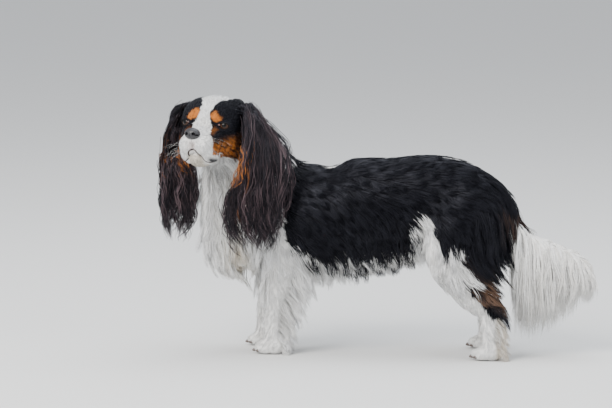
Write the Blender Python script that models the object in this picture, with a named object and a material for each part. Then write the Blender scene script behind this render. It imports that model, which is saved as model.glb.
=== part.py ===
"""A cavalier king charles spaniel, life size, standing with its head turned to its left.

Metres, +Z up. The dog's body faces -X and its left side is -Y. It stands on the floor, z = 0.
The body is modelled whole, parted into its nodes by thin cuts, and then dressed in locks.
"""

import math
import random

import bmesh
import bpy
import numpy as np
from mathutils import Matrix, Vector
from mathutils.bvhtree import BVHTree

GAP = 0.0003
DOWN = Vector((0, 0, -1))

# The dog's driving sizes
LIFT = 0.008
STEP_FORE = -0.025
STEP_HIND = -0.017
EYE_RADIUS = 0.0115
EYE = (0.0335, 0.0325, 0.002)
EYE_TILT = -8
EYE_SWING = 18
NOSE = (0.082, 0, -0.0185)
NOSE_SIZE = (0.0105, 0.0135, 0.0098)

# Where the body is parted
LEG_TOP = 0.125
PASTERN_TOP = 0.085
MIDLINE = 0.010
NECK_SEAM = (-0.135, 0, 0.265)
NECK_LINE = (-0.6, 0, 0.8)
THIGH_LEAN = 16
THIGH_RISE = 15

# How fine the solids are
BODY_TRIANGLES = 2200
HEAD_TRIANGLES = 1250
JAW_TRIANGLES = 200
EAR_TRIANGLES = 180
TAIL_TRIANGLES = 240

# A lock's points along its length, and how it lies: depth of its root, least air under it, and how far each try lifts it
LOCK_POINTS = 5
ROOT_DEPTH = 0.005
LOCK_AIR = 0.0006
LOCK_RISE = 0.0016
LOCK_TRIES = 7

# The head: the skull's centre, how far it is turned from the body's line, and its lift
SKULL = Vector((-0.2134, -0.062, 0.3704 + LIFT))
HEAD_TURN = math.radians(73)
HEAD_PITCH = math.radians(8)

# Trunk sections along the body: x, top, bottom, half width
TRUNK = (
    (-0.200, 0.255, 0.165, 0.040),
    (-0.175, 0.280, 0.135, 0.058),
    (-0.130, 0.302, 0.120, 0.072),
    (-0.070, 0.307, 0.120, 0.080),
    (-0.028, 0.301, 0.126, 0.081),
    (0.006, 0.316, 0.131, 0.081),
    (0.060, 0.316, 0.140, 0.079),
    (0.110, 0.321, 0.155, 0.074),
    (0.150, 0.321, 0.162, 0.070),
    (0.186, 0.314, 0.168, 0.068),
    (0.228, 0.293, 0.178, 0.060),
    (0.255, 0.268, 0.190, 0.046),
    (0.272, 0.240, 0.205, 0.026),
)

# Neck sections: centre x, y, z, half depth, half width
NECK = (
    (-0.085, 0.000, 0.215, 0.073, 0.070),
    (-0.130, -0.006, 0.258, 0.072, 0.068),
    (-0.165, -0.018, 0.300, 0.066, 0.062),
    (-0.195, -0.036, 0.340, 0.056, 0.054),
    (-0.208, -0.050, 0.368, 0.044, 0.044),
)

# Left legs: x, y, z, half depth, half width
FORELEG = (
    (-0.112, -0.035, 0.215, 0.046, 0.030),
    (-0.102, -0.040, 0.165, 0.036, 0.027),
    (-0.108, -0.043, 0.122, 0.026, 0.021),
    (-0.117, -0.043, 0.086, 0.0190, 0.0175),
    (-0.122, -0.043, 0.050, 0.0165, 0.0160),
    (-0.124, -0.043, 0.018, 0.0165, 0.0165),
)
THIGH = (
    (0.212, -0.034, 0.270, 0.048, 0.030),
    (0.195, -0.044, 0.232, 0.060, 0.038),
    (0.178, -0.054, 0.195, 0.050, 0.034),
    (0.168, -0.060, 0.163, 0.037, 0.028),
    (0.186, -0.060, 0.128, 0.028, 0.022),
    (0.212, -0.060, 0.098, 0.023, 0.018),
    (0.236, -0.060, 0.080, 0.0180, 0.0155),
)
REAR_PASTERN = (
    (0.236, -0.060, 0.090, 0.0150, 0.0130),
    (0.237, -0.060, 0.062, 0.0165, 0.0145),
    (0.238, -0.060, 0.036, 0.0155, 0.0150),
    (0.238, -0.060, 0.014, 0.0165, 0.0160),
)
FORE_PAW = (-0.124, -0.043)
HIND_PAW = (0.235, -0.060)

# Cores of the long coat on chest and legs: x, y, z, half depth, half width
BIB = (
    (-0.178, -0.030, 0.338, 0.040, 0.038),
    (-0.186, -0.024, 0.298, 0.042, 0.044),
    (-0.184, -0.012, 0.248, 0.042, 0.048),
    (-0.176, -0.006, 0.198, 0.042, 0.048),
    (-0.162, -0.004, 0.162, 0.038, 0.042),
)
FORE_FEATHER = (
    (-0.096, -0.043, 0.165, 0.026, 0.014),
    (-0.098, -0.043, 0.118, 0.020, 0.012),
    (-0.104, -0.043, 0.088, 0.017, 0.011),
    (-0.110, -0.043, 0.058, 0.014, 0.009),
)
HOCK_FEATHER = (
    (0.220, -0.055, 0.175, 0.030, 0.020),
    (0.232, -0.060, 0.140, 0.022, 0.014),
    (0.242, -0.060, 0.105, 0.014, 0.011),
    (0.244, -0.060, 0.072, 0.013, 0.010),
    (0.246, -0.060, 0.044, 0.012, 0.010),
)

# Ears, as they hang: x, y, z, half width, half thickness, plan direction of the width
EAR_LEFT = (
    (-0.160, -0.070, 0.408, 0.016, 0.009, 66),
    (-0.150, -0.077, 0.385, 0.021, 0.010, 50),
    (-0.138, -0.087, 0.350, 0.031, 0.010, 30),
    (-0.133, -0.097, 0.318, 0.037, 0.010, 15),
    (-0.136, -0.103, 0.280, 0.045, 0.010, 8),
    (-0.142, -0.106, 0.250, 0.051, 0.009, 5),
    (-0.144, -0.106, 0.220, 0.049, 0.008, 0),
    (-0.142, -0.104, 0.196, 0.038, 0.007, 0),
    (-0.136, -0.101, 0.172, 0.020, 0.004, 0),
)
EAR_RIGHT = (
    (-0.268, -0.038, 0.404, 0.016, 0.009, 76),
    (-0.279, -0.040, 0.375, 0.022, 0.010, 68),
    (-0.286, -0.043, 0.340, 0.027, 0.010, 48),
    (-0.284, -0.046, 0.310, 0.033, 0.010, 34),
    (-0.279, -0.048, 0.278, 0.037, 0.010, 26),
    (-0.280, -0.050, 0.245, 0.036, 0.009, 20),
    (-0.279, -0.050, 0.213, 0.026, 0.008, 20),
    (-0.282, -0.050, 0.182, 0.010, 0.004, 20),
)
# Where an ear leaves the skull: forward, left, up, half width, half thickness
EAR_ROOT = (
    (-0.006, 0.030, 0.018, 0.013, 0.006),
    (-0.006, 0.047, 0.028, 0.015, 0.008),
)
EAR_LEATHER = 0.56
# Tiers of locks down an ear: their face, where they start and end along it, and how many
EAR_TIERS = (
    (1, 0.08, 0.52, 3),
    (1, 0.26, 0.76, 4),
    (1, 0.44, 0.90, 4),
    (1, 0.52, 1.00, 6),
    (-1, 0.20, 0.66, 3),
    (-1, 0.42, 0.90, 3),
    (-1, 0.50, 0.97, 4),
)

# Tail bone: x, z, radius, then the height of the plume's lower edge
TAIL = (
    (0.258, 0.218, 0.018, 0.100),
    (0.272, 0.200, 0.016, 0.048),
    (0.292, 0.185, 0.013, 0.036),
    (0.315, 0.176, 0.012, 0.040),
    (0.338, 0.166, 0.011, 0.052),
    (0.360, 0.155, 0.010, 0.066),
    (0.378, 0.140, 0.008, 0.088),
)
PLUME_LOCKS = 13
PLUME_SPREAD = 0.026

BODY_NODES = (
    "torso", "neck", "thigh_left", "thigh_right", "foreleg_left", "foreleg_right",
    "rear_pastern_left", "rear_pastern_right",
)
FINISHES = {
    "torso": "black_coat",
    "thigh_left": "black_coat",
    "thigh_right": "black_coat",
    "ear_left": "black_coat",
    "ear_right": "black_coat",
    "eye_left": "eye_brown",
    "eye_right": "eye_brown",
    "nose": "nose_leather",
}
MATERIALS = {
    "black_coat": ((0.012, 0.012, 0.015), 0.55),
    "white_coat": ((0.80, 0.79, 0.76), 0.7),
    "nose_leather": ((0.02, 0.02, 0.022), 0.4),
    "eye_brown": ((0.02, 0.008, 0.004), 0.08),
}


def clear_scene():
    for thing in list(bpy.data.objects):
        bpy.data.objects.remove(thing, do_unlink=True)


def remove(thing):
    bpy.data.objects.remove(thing, do_unlink=True)


def finish_of(name):
    """The Principled material of one of the dog's finishes."""
    if name in bpy.data.materials:
        return bpy.data.materials[name]
    colour, roughness = MATERIALS[name]
    made = bpy.data.materials.new(name)
    made.use_nodes = True
    shader = made.node_tree.nodes["Principled BSDF"]
    shader.inputs["Base Color"].default_value = (*colour, 1.0)
    shader.inputs["Roughness"].default_value = roughness
    return made


def add_object(name, mesh):
    thing = bpy.data.objects.new(name, mesh)
    bpy.context.collection.objects.link(thing)
    return thing


def add_mesh(name, points, faces):
    """An object from points and faces, turned so that its faces point out."""
    mesh = bpy.data.meshes.new(name)
    mesh.from_pydata([tuple(p) for p in points], [], faces)
    shell = bmesh.new()
    shell.from_mesh(mesh)
    if shell.calc_volume(signed=True) < 0:
        bmesh.ops.reverse_faces(shell, faces=shell.faces)
    shell.to_mesh(mesh)
    shell.free()
    return add_object(name, mesh)


def band_faces(rows, count):
    """Quads between rows of points that all have the same count."""
    faces = []
    for row in range(rows - 1):
        for i in range(count):
            j = (i + 1) % count
            low, high = row * count, (row + 1) * count
            faces.append((low + i, low + j, high + j, high + i))
    return faces


def skin_rings(name, rings):
    """A closed mesh over rings of points, with a flat cap at each end."""
    count = len(rings[0])
    faces = band_faces(len(rings), count)
    faces.append(tuple(reversed(range(count))))
    faces.append(tuple(range((len(rings) - 1) * count, len(rings) * count)))
    return add_mesh(name, [p for each in rings for p in each], faces)


def ring(centre, side, up, half_side, half_up, count=16, square=1.0):
    """A rounded ring of points; square under 1 fills its corners."""
    points = []
    for i in range(count):
        turn = math.tau * i / count
        c, s = math.cos(turn), math.sin(turn)
        a = math.copysign(abs(c) ** square, c) * half_side
        b = math.copysign(abs(s) ** square, s) * half_up
        points.append(centre + side * a + up * b)
    return points


def smooth_rows(rows, steps):
    """The rows' numbers along a smooth curve, with steps spans between two rows."""
    table = np.array(rows, dtype=float)
    ends = np.vstack((2 * table[0] - table[1], table, 2 * table[-1] - table[-2]))
    out = []
    for k in range(1, len(ends) - 2):
        a, b, c, d = ends[k - 1 : k + 3]
        for i in range(steps):
            t = i / steps
            bend = (2 * a - 5 * b + 4 * c - d) * t**2 + (3 * b - a - 3 * c + d) * t**3
            out.append(b + 0.5 * ((c - a) * t + bend))
    out.append(table[-1])
    return out


def tube(name, rows, count=14):
    """A limb through rows of centre, half depth and half width."""
    rows = smooth_rows(rows, 2)
    rings = []
    for k, (x, y, z, depth, width) in enumerate(rows):
        before, after = rows[max(k - 1, 0)], rows[min(k + 1, len(rows) - 1)]
        along = Vector(after[:3]) - Vector(before[:3])
        across = along.cross(Vector((0, 1, 0))).normalized()
        lateral = across.cross(along).normalized()
        rings.append(ring(Vector((x, y, z)), lateral, across, width, depth, count))
    return skin_rings(name, rings)


def ball(name, centre, radii, axes=None, around=16):
    """An ellipsoid with its radii along three right-handed axes."""
    shell = bmesh.new()
    bmesh.ops.create_uvsphere(shell, u_segments=around, v_segments=around * 5 // 8, radius=1.0)
    axes = axes or (Vector((1, 0, 0)), Vector((0, 1, 0)), Vector((0, 0, 1)))
    for v in shell.verts:
        place = Vector(centre)
        for axis, radius, amount in zip(axes, radii, v.co):
            place = place + axis * (radius * amount)
        v.co = place
    mesh = bpy.data.meshes.new(name)
    shell.to_mesh(mesh)
    shell.free()
    return add_object(name, mesh)


def box(name, centre, size, turn=None):
    """A box of the given size, turned about its centre."""
    corners = []
    for i in range(8):
        signs = ((i & 1) * 2 - 1, (i >> 1 & 1) * 2 - 1, (i >> 2 & 1) * 2 - 1)
        corner = Vector([s * w / 2 for s, w in zip(signs, size)])
        corners.append(Vector(centre) + (turn @ corner if turn else corner))
    faces = ((0, 2, 3, 1), (4, 5, 7, 6), (0, 1, 5, 4), (2, 6, 7, 3), (0, 4, 6, 2), (1, 3, 7, 5))
    return add_mesh(name, corners, faces)


def apply_modifier(thing, kind, **settings):
    """Run one modifier and keep its result in the mesh."""
    modifier = thing.modifiers.new(kind.lower(), kind)
    for key, value in settings.items():
        setattr(modifier, key, value)
    shape = thing.evaluated_get(bpy.context.evaluated_depsgraph_get())
    mesh = bpy.data.meshes.new_from_object(shape)
    thing.modifiers.clear()
    old = thing.data
    thing.data = mesh
    bpy.data.meshes.remove(old)


def joined(name, pieces):
    """The pieces' meshes in one object, still as separate shells."""
    shell = bmesh.new()
    for piece in pieces:
        shell.from_mesh(piece.data)
        remove(piece)
    mesh = bpy.data.meshes.new(name)
    shell.to_mesh(mesh)
    shell.free()
    return add_object(name, mesh)


def face_groups(shell):
    """The faces of each separate surface."""
    left = set(shell.faces)
    groups = []
    while left:
        seed = left.pop()
        group, edge = [seed], [seed]
        while edge:
            for side in edge.pop().edges:
                for other in side.link_faces:
                    if other in left:
                        left.discard(other)
                        group.append(other)
                        edge.append(other)
        groups.append(group)
    return groups


def volume_of(group):
    total = 0.0
    for face in group:
        first = face.verts[0].co
        for a, b in zip(face.verts[1:-1], face.verts[2:]):
            total += first.dot(a.co.cross(b.co)) / 6
    return total


def keep_largest(thing):
    """Drop every loose surface but the one that holds the most."""
    shell = bmesh.new()
    shell.from_mesh(thing.data)
    groups = sorted(face_groups(shell), key=volume_of, reverse=True)
    spare = [face for group in groups[1:] for face in group]
    if spare:
        bmesh.ops.delete(shell, geom=spare, context="FACES")
    shell.to_mesh(thing.data)
    shell.free()


def is_closed(thing):
    shell = bmesh.new()
    shell.from_mesh(thing.data)
    closed = all(len(edge.link_faces) == 2 for edge in shell.edges)
    shell.free()
    return closed and len(thing.data.polygons) > 0


def fuse(name, pieces, grain, rounds, triangles):
    """One smooth closed body out of overlapping pieces, thinned to a triangle count."""
    thing = joined(name, pieces)
    apply_modifier(thing, "REMESH", mode="VOXEL", voxel_size=grain, adaptivity=0.0)
    apply_modifier(thing, "SMOOTH", factor=0.5, iterations=rounds)
    keep_largest(thing)
    apply_modifier(thing, "TRIANGULATE")
    ratio = triangles / max(len(thing.data.polygons), 1)
    if ratio < 1:
        apply_modifier(thing, "DECIMATE", ratio=ratio, use_collapse_triangulate=True)
    return thing


def boolean(thing, cutter, operation):
    """Cut or trim a piece by a closed cutter, which is then removed."""
    apply_modifier(thing, "BOOLEAN", object=cutter, operation=operation, solver="EXACT")
    keep_largest(thing)
    remove(cutter)


def copy_of(thing, name):
    return add_object(name, thing.data.copy())


def take(body, name, centre, size, turn=None):
    """Part the body by an oriented box: what is inside becomes its own piece."""
    piece = copy_of(body, name)
    boolean(piece, box("cutter", centre, size, turn), "INTERSECT")
    boolean(body, box("cutter", centre, [w + 2 * GAP for w in size], turn), "DIFFERENCE")
    return piece


def grown(thing, amount):
    """A copy of a piece, fatter by an amount along its points' normals."""
    made = copy_of(thing, "grown")
    shell = bmesh.new()
    shell.from_mesh(made.data)
    shell.normal_update()
    for v in shell.verts:
        v.co = v.co + v.normal * amount * max(v.calc_shell_factor(), 1.0)
    shell.to_mesh(made.data)
    shell.free()
    return made


def seat(piece, *carriers):
    """Cut a piece clear of what it sits on by the gap."""
    for carrier in carriers:
        boolean(piece, grown(carrier, GAP), "DIFFERENCE")


def head_axes():
    """Forward, left and up for the turned head."""
    forward = Vector((
        -math.cos(HEAD_TURN) * math.cos(HEAD_PITCH),
        -math.sin(HEAD_TURN) * math.cos(HEAD_PITCH),
        math.sin(HEAD_PITCH),
    ))
    left = Vector((0, 0, 1)).cross(forward).normalized()
    return forward, left, forward.cross(left)


def on_head(f, s, u):
    """A point given forward, left and up of the skull's centre."""
    forward, left, up = head_axes()
    return SKULL + forward * f + left * s + up * u


def mirror_rows(rows, step):
    """Right-hand rows from left-hand ones, a step further along."""
    return [(x + step, -y, *rest) for x, y, *rest in rows]


def paw(place):
    """A pad and four toes, on the floor."""
    x, y = place
    pieces = [ball("paw", (x + 0.004, y, 0.013), (0.021, 0.0185, 0.016))]
    for ahead, aside in ((0.010, 0.0125), (0.017, 0.0045)):
        for side in (-1, 1):
            toe = (x - ahead, y + side * aside, 0.009)
            pieces.append(ball("toe", toe, (0.0135, 0.0068, 0.0105)))
    return pieces


def flat_rings(name, rows):
    """A core of coat built up in level slices."""
    x_axis, y_axis = Vector((1, 0, 0)), Vector((0, 1, 0))
    rings = [
        ring(Vector((x, y, z)), y_axis, x_axis, half, depth, 12)
        for x, y, z, depth, half in smooth_rows(rows, 2)
    ]
    return skin_rings(name, rings)


def body_pieces():
    """The trunk, neck, legs and coat cores, overlapping, ready to be fused."""
    y_axis, z_axis = Vector((0, 1, 0)), Vector((0, 0, 1))
    rings = []
    for x, top, bottom, half in smooth_rows(TRUNK, 2):
        centre = Vector((x, 0, (top + bottom) / 2 + LIFT))
        rings.append(ring(centre, y_axis, z_axis, half, (top - bottom) / 2, 20, 0.9))
    raised = [(x, y, z + LIFT, depth, width) for x, y, z, depth, width in NECK]
    pieces = [skin_rings("trunk", rings), tube("neck", raised, 18), flat_rings("bib", BIB)]
    for rows, step in ((FORELEG, STEP_FORE), (THIGH, STEP_HIND), (REAR_PASTERN, STEP_HIND)):
        pieces += [tube("leg", rows), tube("leg", mirror_rows(rows, step))]
    for rows, step in ((FORE_FEATHER, STEP_FORE), (HOCK_FEATHER, STEP_HIND)):
        pieces += [flat_rings("core", rows), flat_rings("core", mirror_rows(rows, step))]
    for (x, y), step in ((FORE_PAW, STEP_FORE), (HIND_PAW, STEP_HIND)):
        pieces += paw((x, y)) + paw((x + step, -y))
    return pieces


def build_body():
    """Fuse the trunk, neck and legs, then part them into their named nodes."""
    body = fuse("torso", body_pieces(), 0.005, 6, BODY_TRIANGLES)
    boolean(body, box("cutter", (0, 0, -0.05), (1.2, 0.6, 0.1)), "DIFFERENCE")
    nodes = {"torso": body}
    reach = 0.130
    for side, name, fore, hind in ((-1, "left", 0, 0), (1, "right", STEP_FORE, STEP_HIND)):
        y = side * (MIDLINE + reach / 2)
        leg_size = (0.160, reach, LEG_TOP + 0.02)
        leg_centre = (-0.100 + fore, y, LEG_TOP - leg_size[2] / 2)
        nodes[f"foreleg_{name}"] = take(body, "foreleg", leg_centre, leg_size)
        paw_size = (0.160, reach, PASTERN_TOP + 0.02)
        paw_centre = (0.235 + hind, y, PASTERN_TOP - paw_size[2] / 2)
        nodes[f"rear_pastern_{name}"] = take(body, "pastern", paw_centre, paw_size)
        lean = Matrix.Rotation(math.radians(side * THIGH_LEAN), 3, "X")
        rise = Matrix.Rotation(math.radians(-THIGH_RISE), 3, "Y")
        thigh_centre = (0.205 + hind, side * 0.105, 0.150)
        thigh_size = (0.210, 0.110, 0.210)
        nodes[f"thigh_{name}"] = take(body, "thigh", thigh_centre, thigh_size, lean @ rise)
    up = Vector(NECK_LINE).normalized()
    turn = Vector((0, 0, 1)).rotation_difference(up).to_matrix()
    nodes["neck"] = take(body, "neck", Vector(NECK_SEAM) + up * 0.2, (0.5, 0.5, 0.4), turn)
    return nodes


def head_balls(name, shapes):
    """Balls given forward, left and up of the skull's centre, those off the middle in pairs."""
    axes = head_axes()
    pieces = []
    for (f, s, u), radii in shapes:
        for side in (1, -1) if s else (1,):
            pieces.append(ball(name, on_head(f, side * s, u), radii, axes))
    return pieces


def head_pieces():
    """Skull, temples, brows, cheeks, lids, bridge, muzzle and upper lips."""
    lid = EYE_RADIUS + 0.0028
    return head_balls("head", (
        ((-0.004, 0, 0.000), (0.054, 0.050, 0.048)),
        ((0.004, 0.020, 0.006), (0.046, 0.032, 0.038)),
        ((0.022, 0.016, 0.012), (0.025, 0.025, 0.025)),
        ((0.010, 0.030, -0.024), (0.034, 0.022, 0.028)),
        ((0.030, 0.018, -0.026), (0.032, 0.024, 0.024)),
        (EYE, (lid, lid, lid)),
        ((0.050, 0, -0.020), (0.030, 0.018, 0.014)),
        ((0.052, 0.010, -0.034), (0.030, 0.020, 0.022)),
        ((0.064, 0.0125, -0.037), (0.021, 0.0165, 0.0185)),
        ((0.072, 0, -0.024), (0.014, 0.016, 0.014)),
    ))


def jaw_pieces():
    """The lower jaw and chin, under the upper lips."""
    return head_balls("jaw", (
        ((0.030, 0, -0.052), (0.036, 0.026, 0.016)),
        ((0.052, 0, -0.056), (0.024, 0.018, 0.014)),
    ))


def eye_place(side):
    return on_head(EYE[0], side * EYE[1], EYE[2])


def almond(side):
    """The cutter that opens the lids, a long ball through the front of the eye."""
    forward, left, up = head_axes()
    tilt = Matrix.Rotation(side * math.radians(EYE_TILT), 3, forward)
    swing = Matrix.Rotation(side * math.radians(EYE_SWING), 3, up)
    axes = [swing @ (tilt @ axis) for axis in (forward, left, up)]
    centre = eye_place(side) + axes[0] * (EYE_RADIUS + 0.006)
    return ball("cutter", centre, (0.019, 0.0112, 0.0078), axes, 12)


def build_nose():
    """The nose leather, with its two comma nostrils."""
    axes = head_axes()
    nose = ball("nose", on_head(*NOSE), NOSE_SIZE, axes, 12)
    for side in (-1, 1):
        hole = on_head(NOSE[0] + 0.0095, side * 0.0062, NOSE[2] - 0.0008)
        slit = on_head(NOSE[0] + 0.0060, side * 0.0108, NOSE[2] - 0.0024)
        boolean(nose, ball("cutter", hole, (0.0060, 0.0026, 0.0022), axes, 6), "DIFFERENCE")
        boolean(nose, ball("cutter", slit, (0.0050, 0.0038, 0.0011), axes, 6), "DIFFERENCE")
    return nose


def build_head():
    """The head with lids round open sockets, and its nose, jaw and eyes."""
    axes = head_axes()
    head = fuse("head", head_pieces(), 0.0026, 4, HEAD_TRIANGLES)
    nodes = {"head": head}
    for side, name in ((1, "left"), (-1, "right")):
        boolean(head, almond(side), "DIFFERENCE")
        socket = ball("cutter", eye_place(side), (EYE_RADIUS + GAP,) * 3, axes, 12)
        boolean(head, socket, "DIFFERENCE")
        nodes[f"eye_{name}"] = ball("eye", eye_place(side), (EYE_RADIUS,) * 3, axes, 12)
    seat(head, ball("nose", on_head(*NOSE), NOSE_SIZE, axes, 12))
    remove(bpy.data.objects["nose"])
    nodes["nose"] = build_nose()
    nodes["jaw"] = fuse("jaw", jaw_pieces(), 0.003, 3, JAW_TRIANGLES)
    seat(nodes["jaw"], head)
    return nodes


def ear_line(rows, side):
    """An ear's rows from inside the skull, over its fold and down to its tip."""
    plan = math.degrees(HEAD_TURN)
    root = [(*on_head(f, side * s, u), half, thick, plan) for f, s, u, half, thick in EAR_ROOT]
    return smooth_rows([*root, *rows], 4)


def ear_frame(line, t):
    """Centre, width direction, outward direction and half sizes at a share of an ear's length."""
    place = t * (len(line) - 1)
    k = min(int(place), len(line) - 2)
    x, y, z, half, thick, plan = line[k] + (line[k + 1] - line[k]) * (place - k)
    along = Vector(line[k + 1][:3]) - Vector(line[k][:3])
    turn = math.radians(plan)
    wide = Vector((math.cos(turn), math.sin(turn), 0))
    flat = wide.cross(along).normalized()
    wide = along.cross(flat).normalized()
    return Vector((x, y, z)), wide, flat, half, thick


def ear_core(name, line):
    """The ear's leather, hollowed to a shallow cup under its fold."""
    rings = []
    for k in range(13):
        t = EAR_LEATHER * k / 12
        centre, wide, flat, half, thick = ear_frame(line, t)
        slim = math.sqrt(max(1 - (t / (EAR_LEATHER * 1.06)) ** 6, 0.05))
        rings.append(ring(centre, wide, flat, half * 0.86 * slim, thick * 0.6, 12))
    leather = fuse(name, [skin_rings(name, rings)], 0.0025, 2, EAR_TRIANGLES)
    centre, wide, flat, half, thick = ear_frame(line, 0.34)
    inner = flat if flat.dot(centre - SKULL) < 0 else -flat
    axes = (wide, inner, wide.cross(inner))
    cup = ball("cutter", centre + inner * thick * 0.8, (half * 0.6, thick * 0.5, 0.03), axes, 10)
    boolean(leather, cup, "DIFFERENCE")
    return leather


def build_tail():
    rows = [(x, 0, z + LIFT, radius, radius) for x, z, radius, low in TAIL]
    return fuse("tail", [tube("tail", rows)], 0.004, 3, TAIL_TRIANGLES)


def lock_mesh(points, normals, width, thick):
    """Points and faces of a flat lock along a bending line, drawn out to a point."""
    spots = []
    last = len(points) - 1
    for k in range(last):
        t = k / last
        along = points[k + 1] - points[max(k - 1, 0)]
        wide = along.cross(normals[k]).normalized()
        flat = wide.cross(along).normalized()
        half = width / 2 * (1 - t**2.2) * (0.8 + 0.6 * t)
        deep = thick / 2 * (1 - 0.4 * t)
        centre = points[k]
        spots += [centre + wide * half - flat * deep, centre + flat * deep]
        spots.append(centre - wide * half - flat * deep)
    spots.append(points[-1])
    faces = band_faces(last, 3)
    faces.append((2, 1, 0))
    low = (last - 1) * 3
    for i in range(3):
        faces.append((low + i, low + (i + 1) % 3, len(spots) - 1))
    return spots, faces


def tree_of(thing):
    shell = bmesh.new()
    shell.from_mesh(thing.data)
    tree = BVHTree.FromBMesh(shell)
    shell.free()
    return tree


def nearest(trees, point):
    """The closest surface point over all nodes, its outward normal and its distance."""
    best = None
    for tree in trees.values():
        spot, normal, _, distance = tree.find_nearest(point)
        if spot is not None and (best is None or distance < best[2]):
            best = (spot, normal, distance)
    return best


def is_clear(spots, faces, trees, owner):
    """Whether a lock keeps its air to every node but its own, and to the floor."""
    if min(p.z for p in spots) < 0.002:
        return False
    shape = BVHTree.FromPolygons(spots, faces)
    for name, tree in trees.items():
        if name == owner:
            continue
        if shape.overlap(tree):
            return False
        for p in spots:
            spot, normal, _, distance = tree.find_nearest(p, 0.02)
            if spot is None:
                continue
            if distance < LOCK_AIR or (p - spot).dot(normal) < 0:
                return False
    return True


def drape(trees, root, lie, length, lift, droop, wave):
    """A line that starts under the skin, follows it along the lie and then hangs free."""
    spot, normal, way = root
    points, normals = [spot - normal * ROOT_DEPTH], [normal]
    place = spot
    sideways = lie.cross(normal)
    amount, phase = wave
    for k in range(1, LOCK_POINTS):
        t = k / (LOCK_POINTS - 1)
        swing = sideways * (amount * math.cos(phase + 5 * t))
        step = (lie * (1 - droop * t) + DOWN * droop * t + swing).normalized()
        place = place + step * (length / (LOCK_POINTS - 1))
        near, out, _ = nearest(trees, place)
        height = (place - near).dot(out)
        want = lift + 0.002 * t
        if height < want:
            place = near + out * want
        if height < 0.015:
            normal = (normal + out).normalized()
        points.append(place)
        normals.append(normal)
    return points, normals


def comb_lock(trees, owner, root, lie, length, width, thick, droop, rng):
    """A lock draped from its root, lifted until it is clear of the other nodes."""
    wave = (rng.uniform(0.10, 0.28), rng.uniform(0, math.tau))
    for attempt in range(LOCK_TRIES):
        lift = thick * 0.35 + attempt * LOCK_RISE
        points, normals = drape(trees, root, lie, length, lift, droop, wave)
        spots, faces = lock_mesh(points, normals, width, thick)
        if is_clear(spots, faces, trees, owner):
            return add_mesh("lock", spots, faces)
    return None


def bent_lock(trees, owner, points, normals, away, width, thick):
    """A lock along a given line, pushed away until it is clear of the other nodes."""
    for attempt in range(LOCK_TRIES * 2):
        moved = [
            p + away * (attempt * LOCK_RISE * min(1.0, 2.5 * k / (len(points) - 1)))
            for k, p in enumerate(points)
        ]
        spots, faces = lock_mesh(moved, normals, width, thick)
        if is_clear(spots, faces, trees, owner):
            return add_mesh("lock", spots, faces)
    return None


def unite(thing, locks):
    """Join a node's locks to it in one union, and keep its largest closed surface."""
    group = bpy.data.collections.new("locks")
    for each in locks:
        group.objects.link(each)
    plain = thing.data.copy()
    for solver in ("EXACT", "MANIFOLD"):
        apply_modifier(
            thing, "BOOLEAN", operand_type="COLLECTION", collection=group,
            operation="UNION", solver=solver,
        )
        keep_largest(thing)
        if is_closed(thing):
            break
        thing.data = plain.copy()
    for each in locks:
        remove(each)
    bpy.data.collections.remove(group)


def spread(low, high, count):
    """Even steps from low to high."""
    return [low + (high - low) * k / max(count - 1, 1) for k in range(count)]


def cast(trees, origin, way):
    """The first node that a ray meets: its name and the root there."""
    best = None
    for name, tree in trees.items():
        spot, normal, _, distance = tree.ray_cast(origin, way)
        if spot is not None and (best is None or distance < best[2]):
            best = (name, (spot, normal, way), distance)
    return best


def chest_locks(rng):
    """Rays, lie and sizes of the bib, from the throat to the foot of the chest."""
    for row, z in enumerate(spread(0.330, 0.160, 6)):
        count = 6 if row % 2 else 7
        for turn in spread(-80, 80, count):
            angle = math.radians(turn + rng.uniform(-4, 4))
            out = Vector((-math.cos(angle), math.sin(angle), 0))
            centre = Vector((-0.14, -0.03 * (z > 0.27), z + rng.uniform(-0.005, 0.005)))
            lie = (DOWN + out * 0.42).normalized()
            yield centre + out * 0.3, -out, lie, rng.uniform(0.060, 0.082), 0.022, 0.0060, 0.7


def belly_locks(rng):
    """Rays, lie and sizes of the fringe along the underline."""
    for side in (-1, 1):
        for x in spread(-0.078, 0.108, 9):
            y = side * (0.050 - 0.12 * max(x, 0) + rng.uniform(-0.006, 0.006))
            lie = Vector((0.72, side * 0.1, -0.65)).normalized()
            length = rng.uniform(0.034, 0.048)
            yield Vector((x, y, 0.05)), -DOWN, lie, length, 0.027, 0.0050, 0.5


def leg_locks(rng):
    """Rays, lie and sizes of the feathering behind all four legs."""
    back = Vector((-1, 0, 0))
    for side, fore, hind in ((-1, 0, 0), (1, STEP_FORE, STEP_HIND)):
        for k, z in enumerate(spread(0.034, 0.116, 7)):
            y = side * (0.043 + (0.004 if k % 2 else -0.004))
            lie = Vector((0.62, 0, -0.80)).normalized()
            yield Vector((-0.02 + fore, y, z)), back, lie, 0.024 + 0.26 * z, 0.018, 0.0055, 0.8
        for k, z in enumerate(spread(0.116, 0.212, 6)):
            y = side * (0.056 + (0.009 if k % 2 else -0.009))
            lie = Vector((0.30, 0, -0.95)).normalized()
            length = rng.uniform(0.044, 0.058)
            yield Vector((0.5, y, z)), back, lie, length, 0.022, 0.0055, 0.6
        for k, z in enumerate(spread(0.034, 0.078, 5)):
            y = side * (0.060 + (0.004 if k % 2 else -0.004))
            lie = Vector((0.60, 0, -0.80)).normalized()
            yield Vector((0.5, y, z)), back, lie, 0.024 + 0.14 * z, 0.016, 0.0055, 0.8


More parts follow.
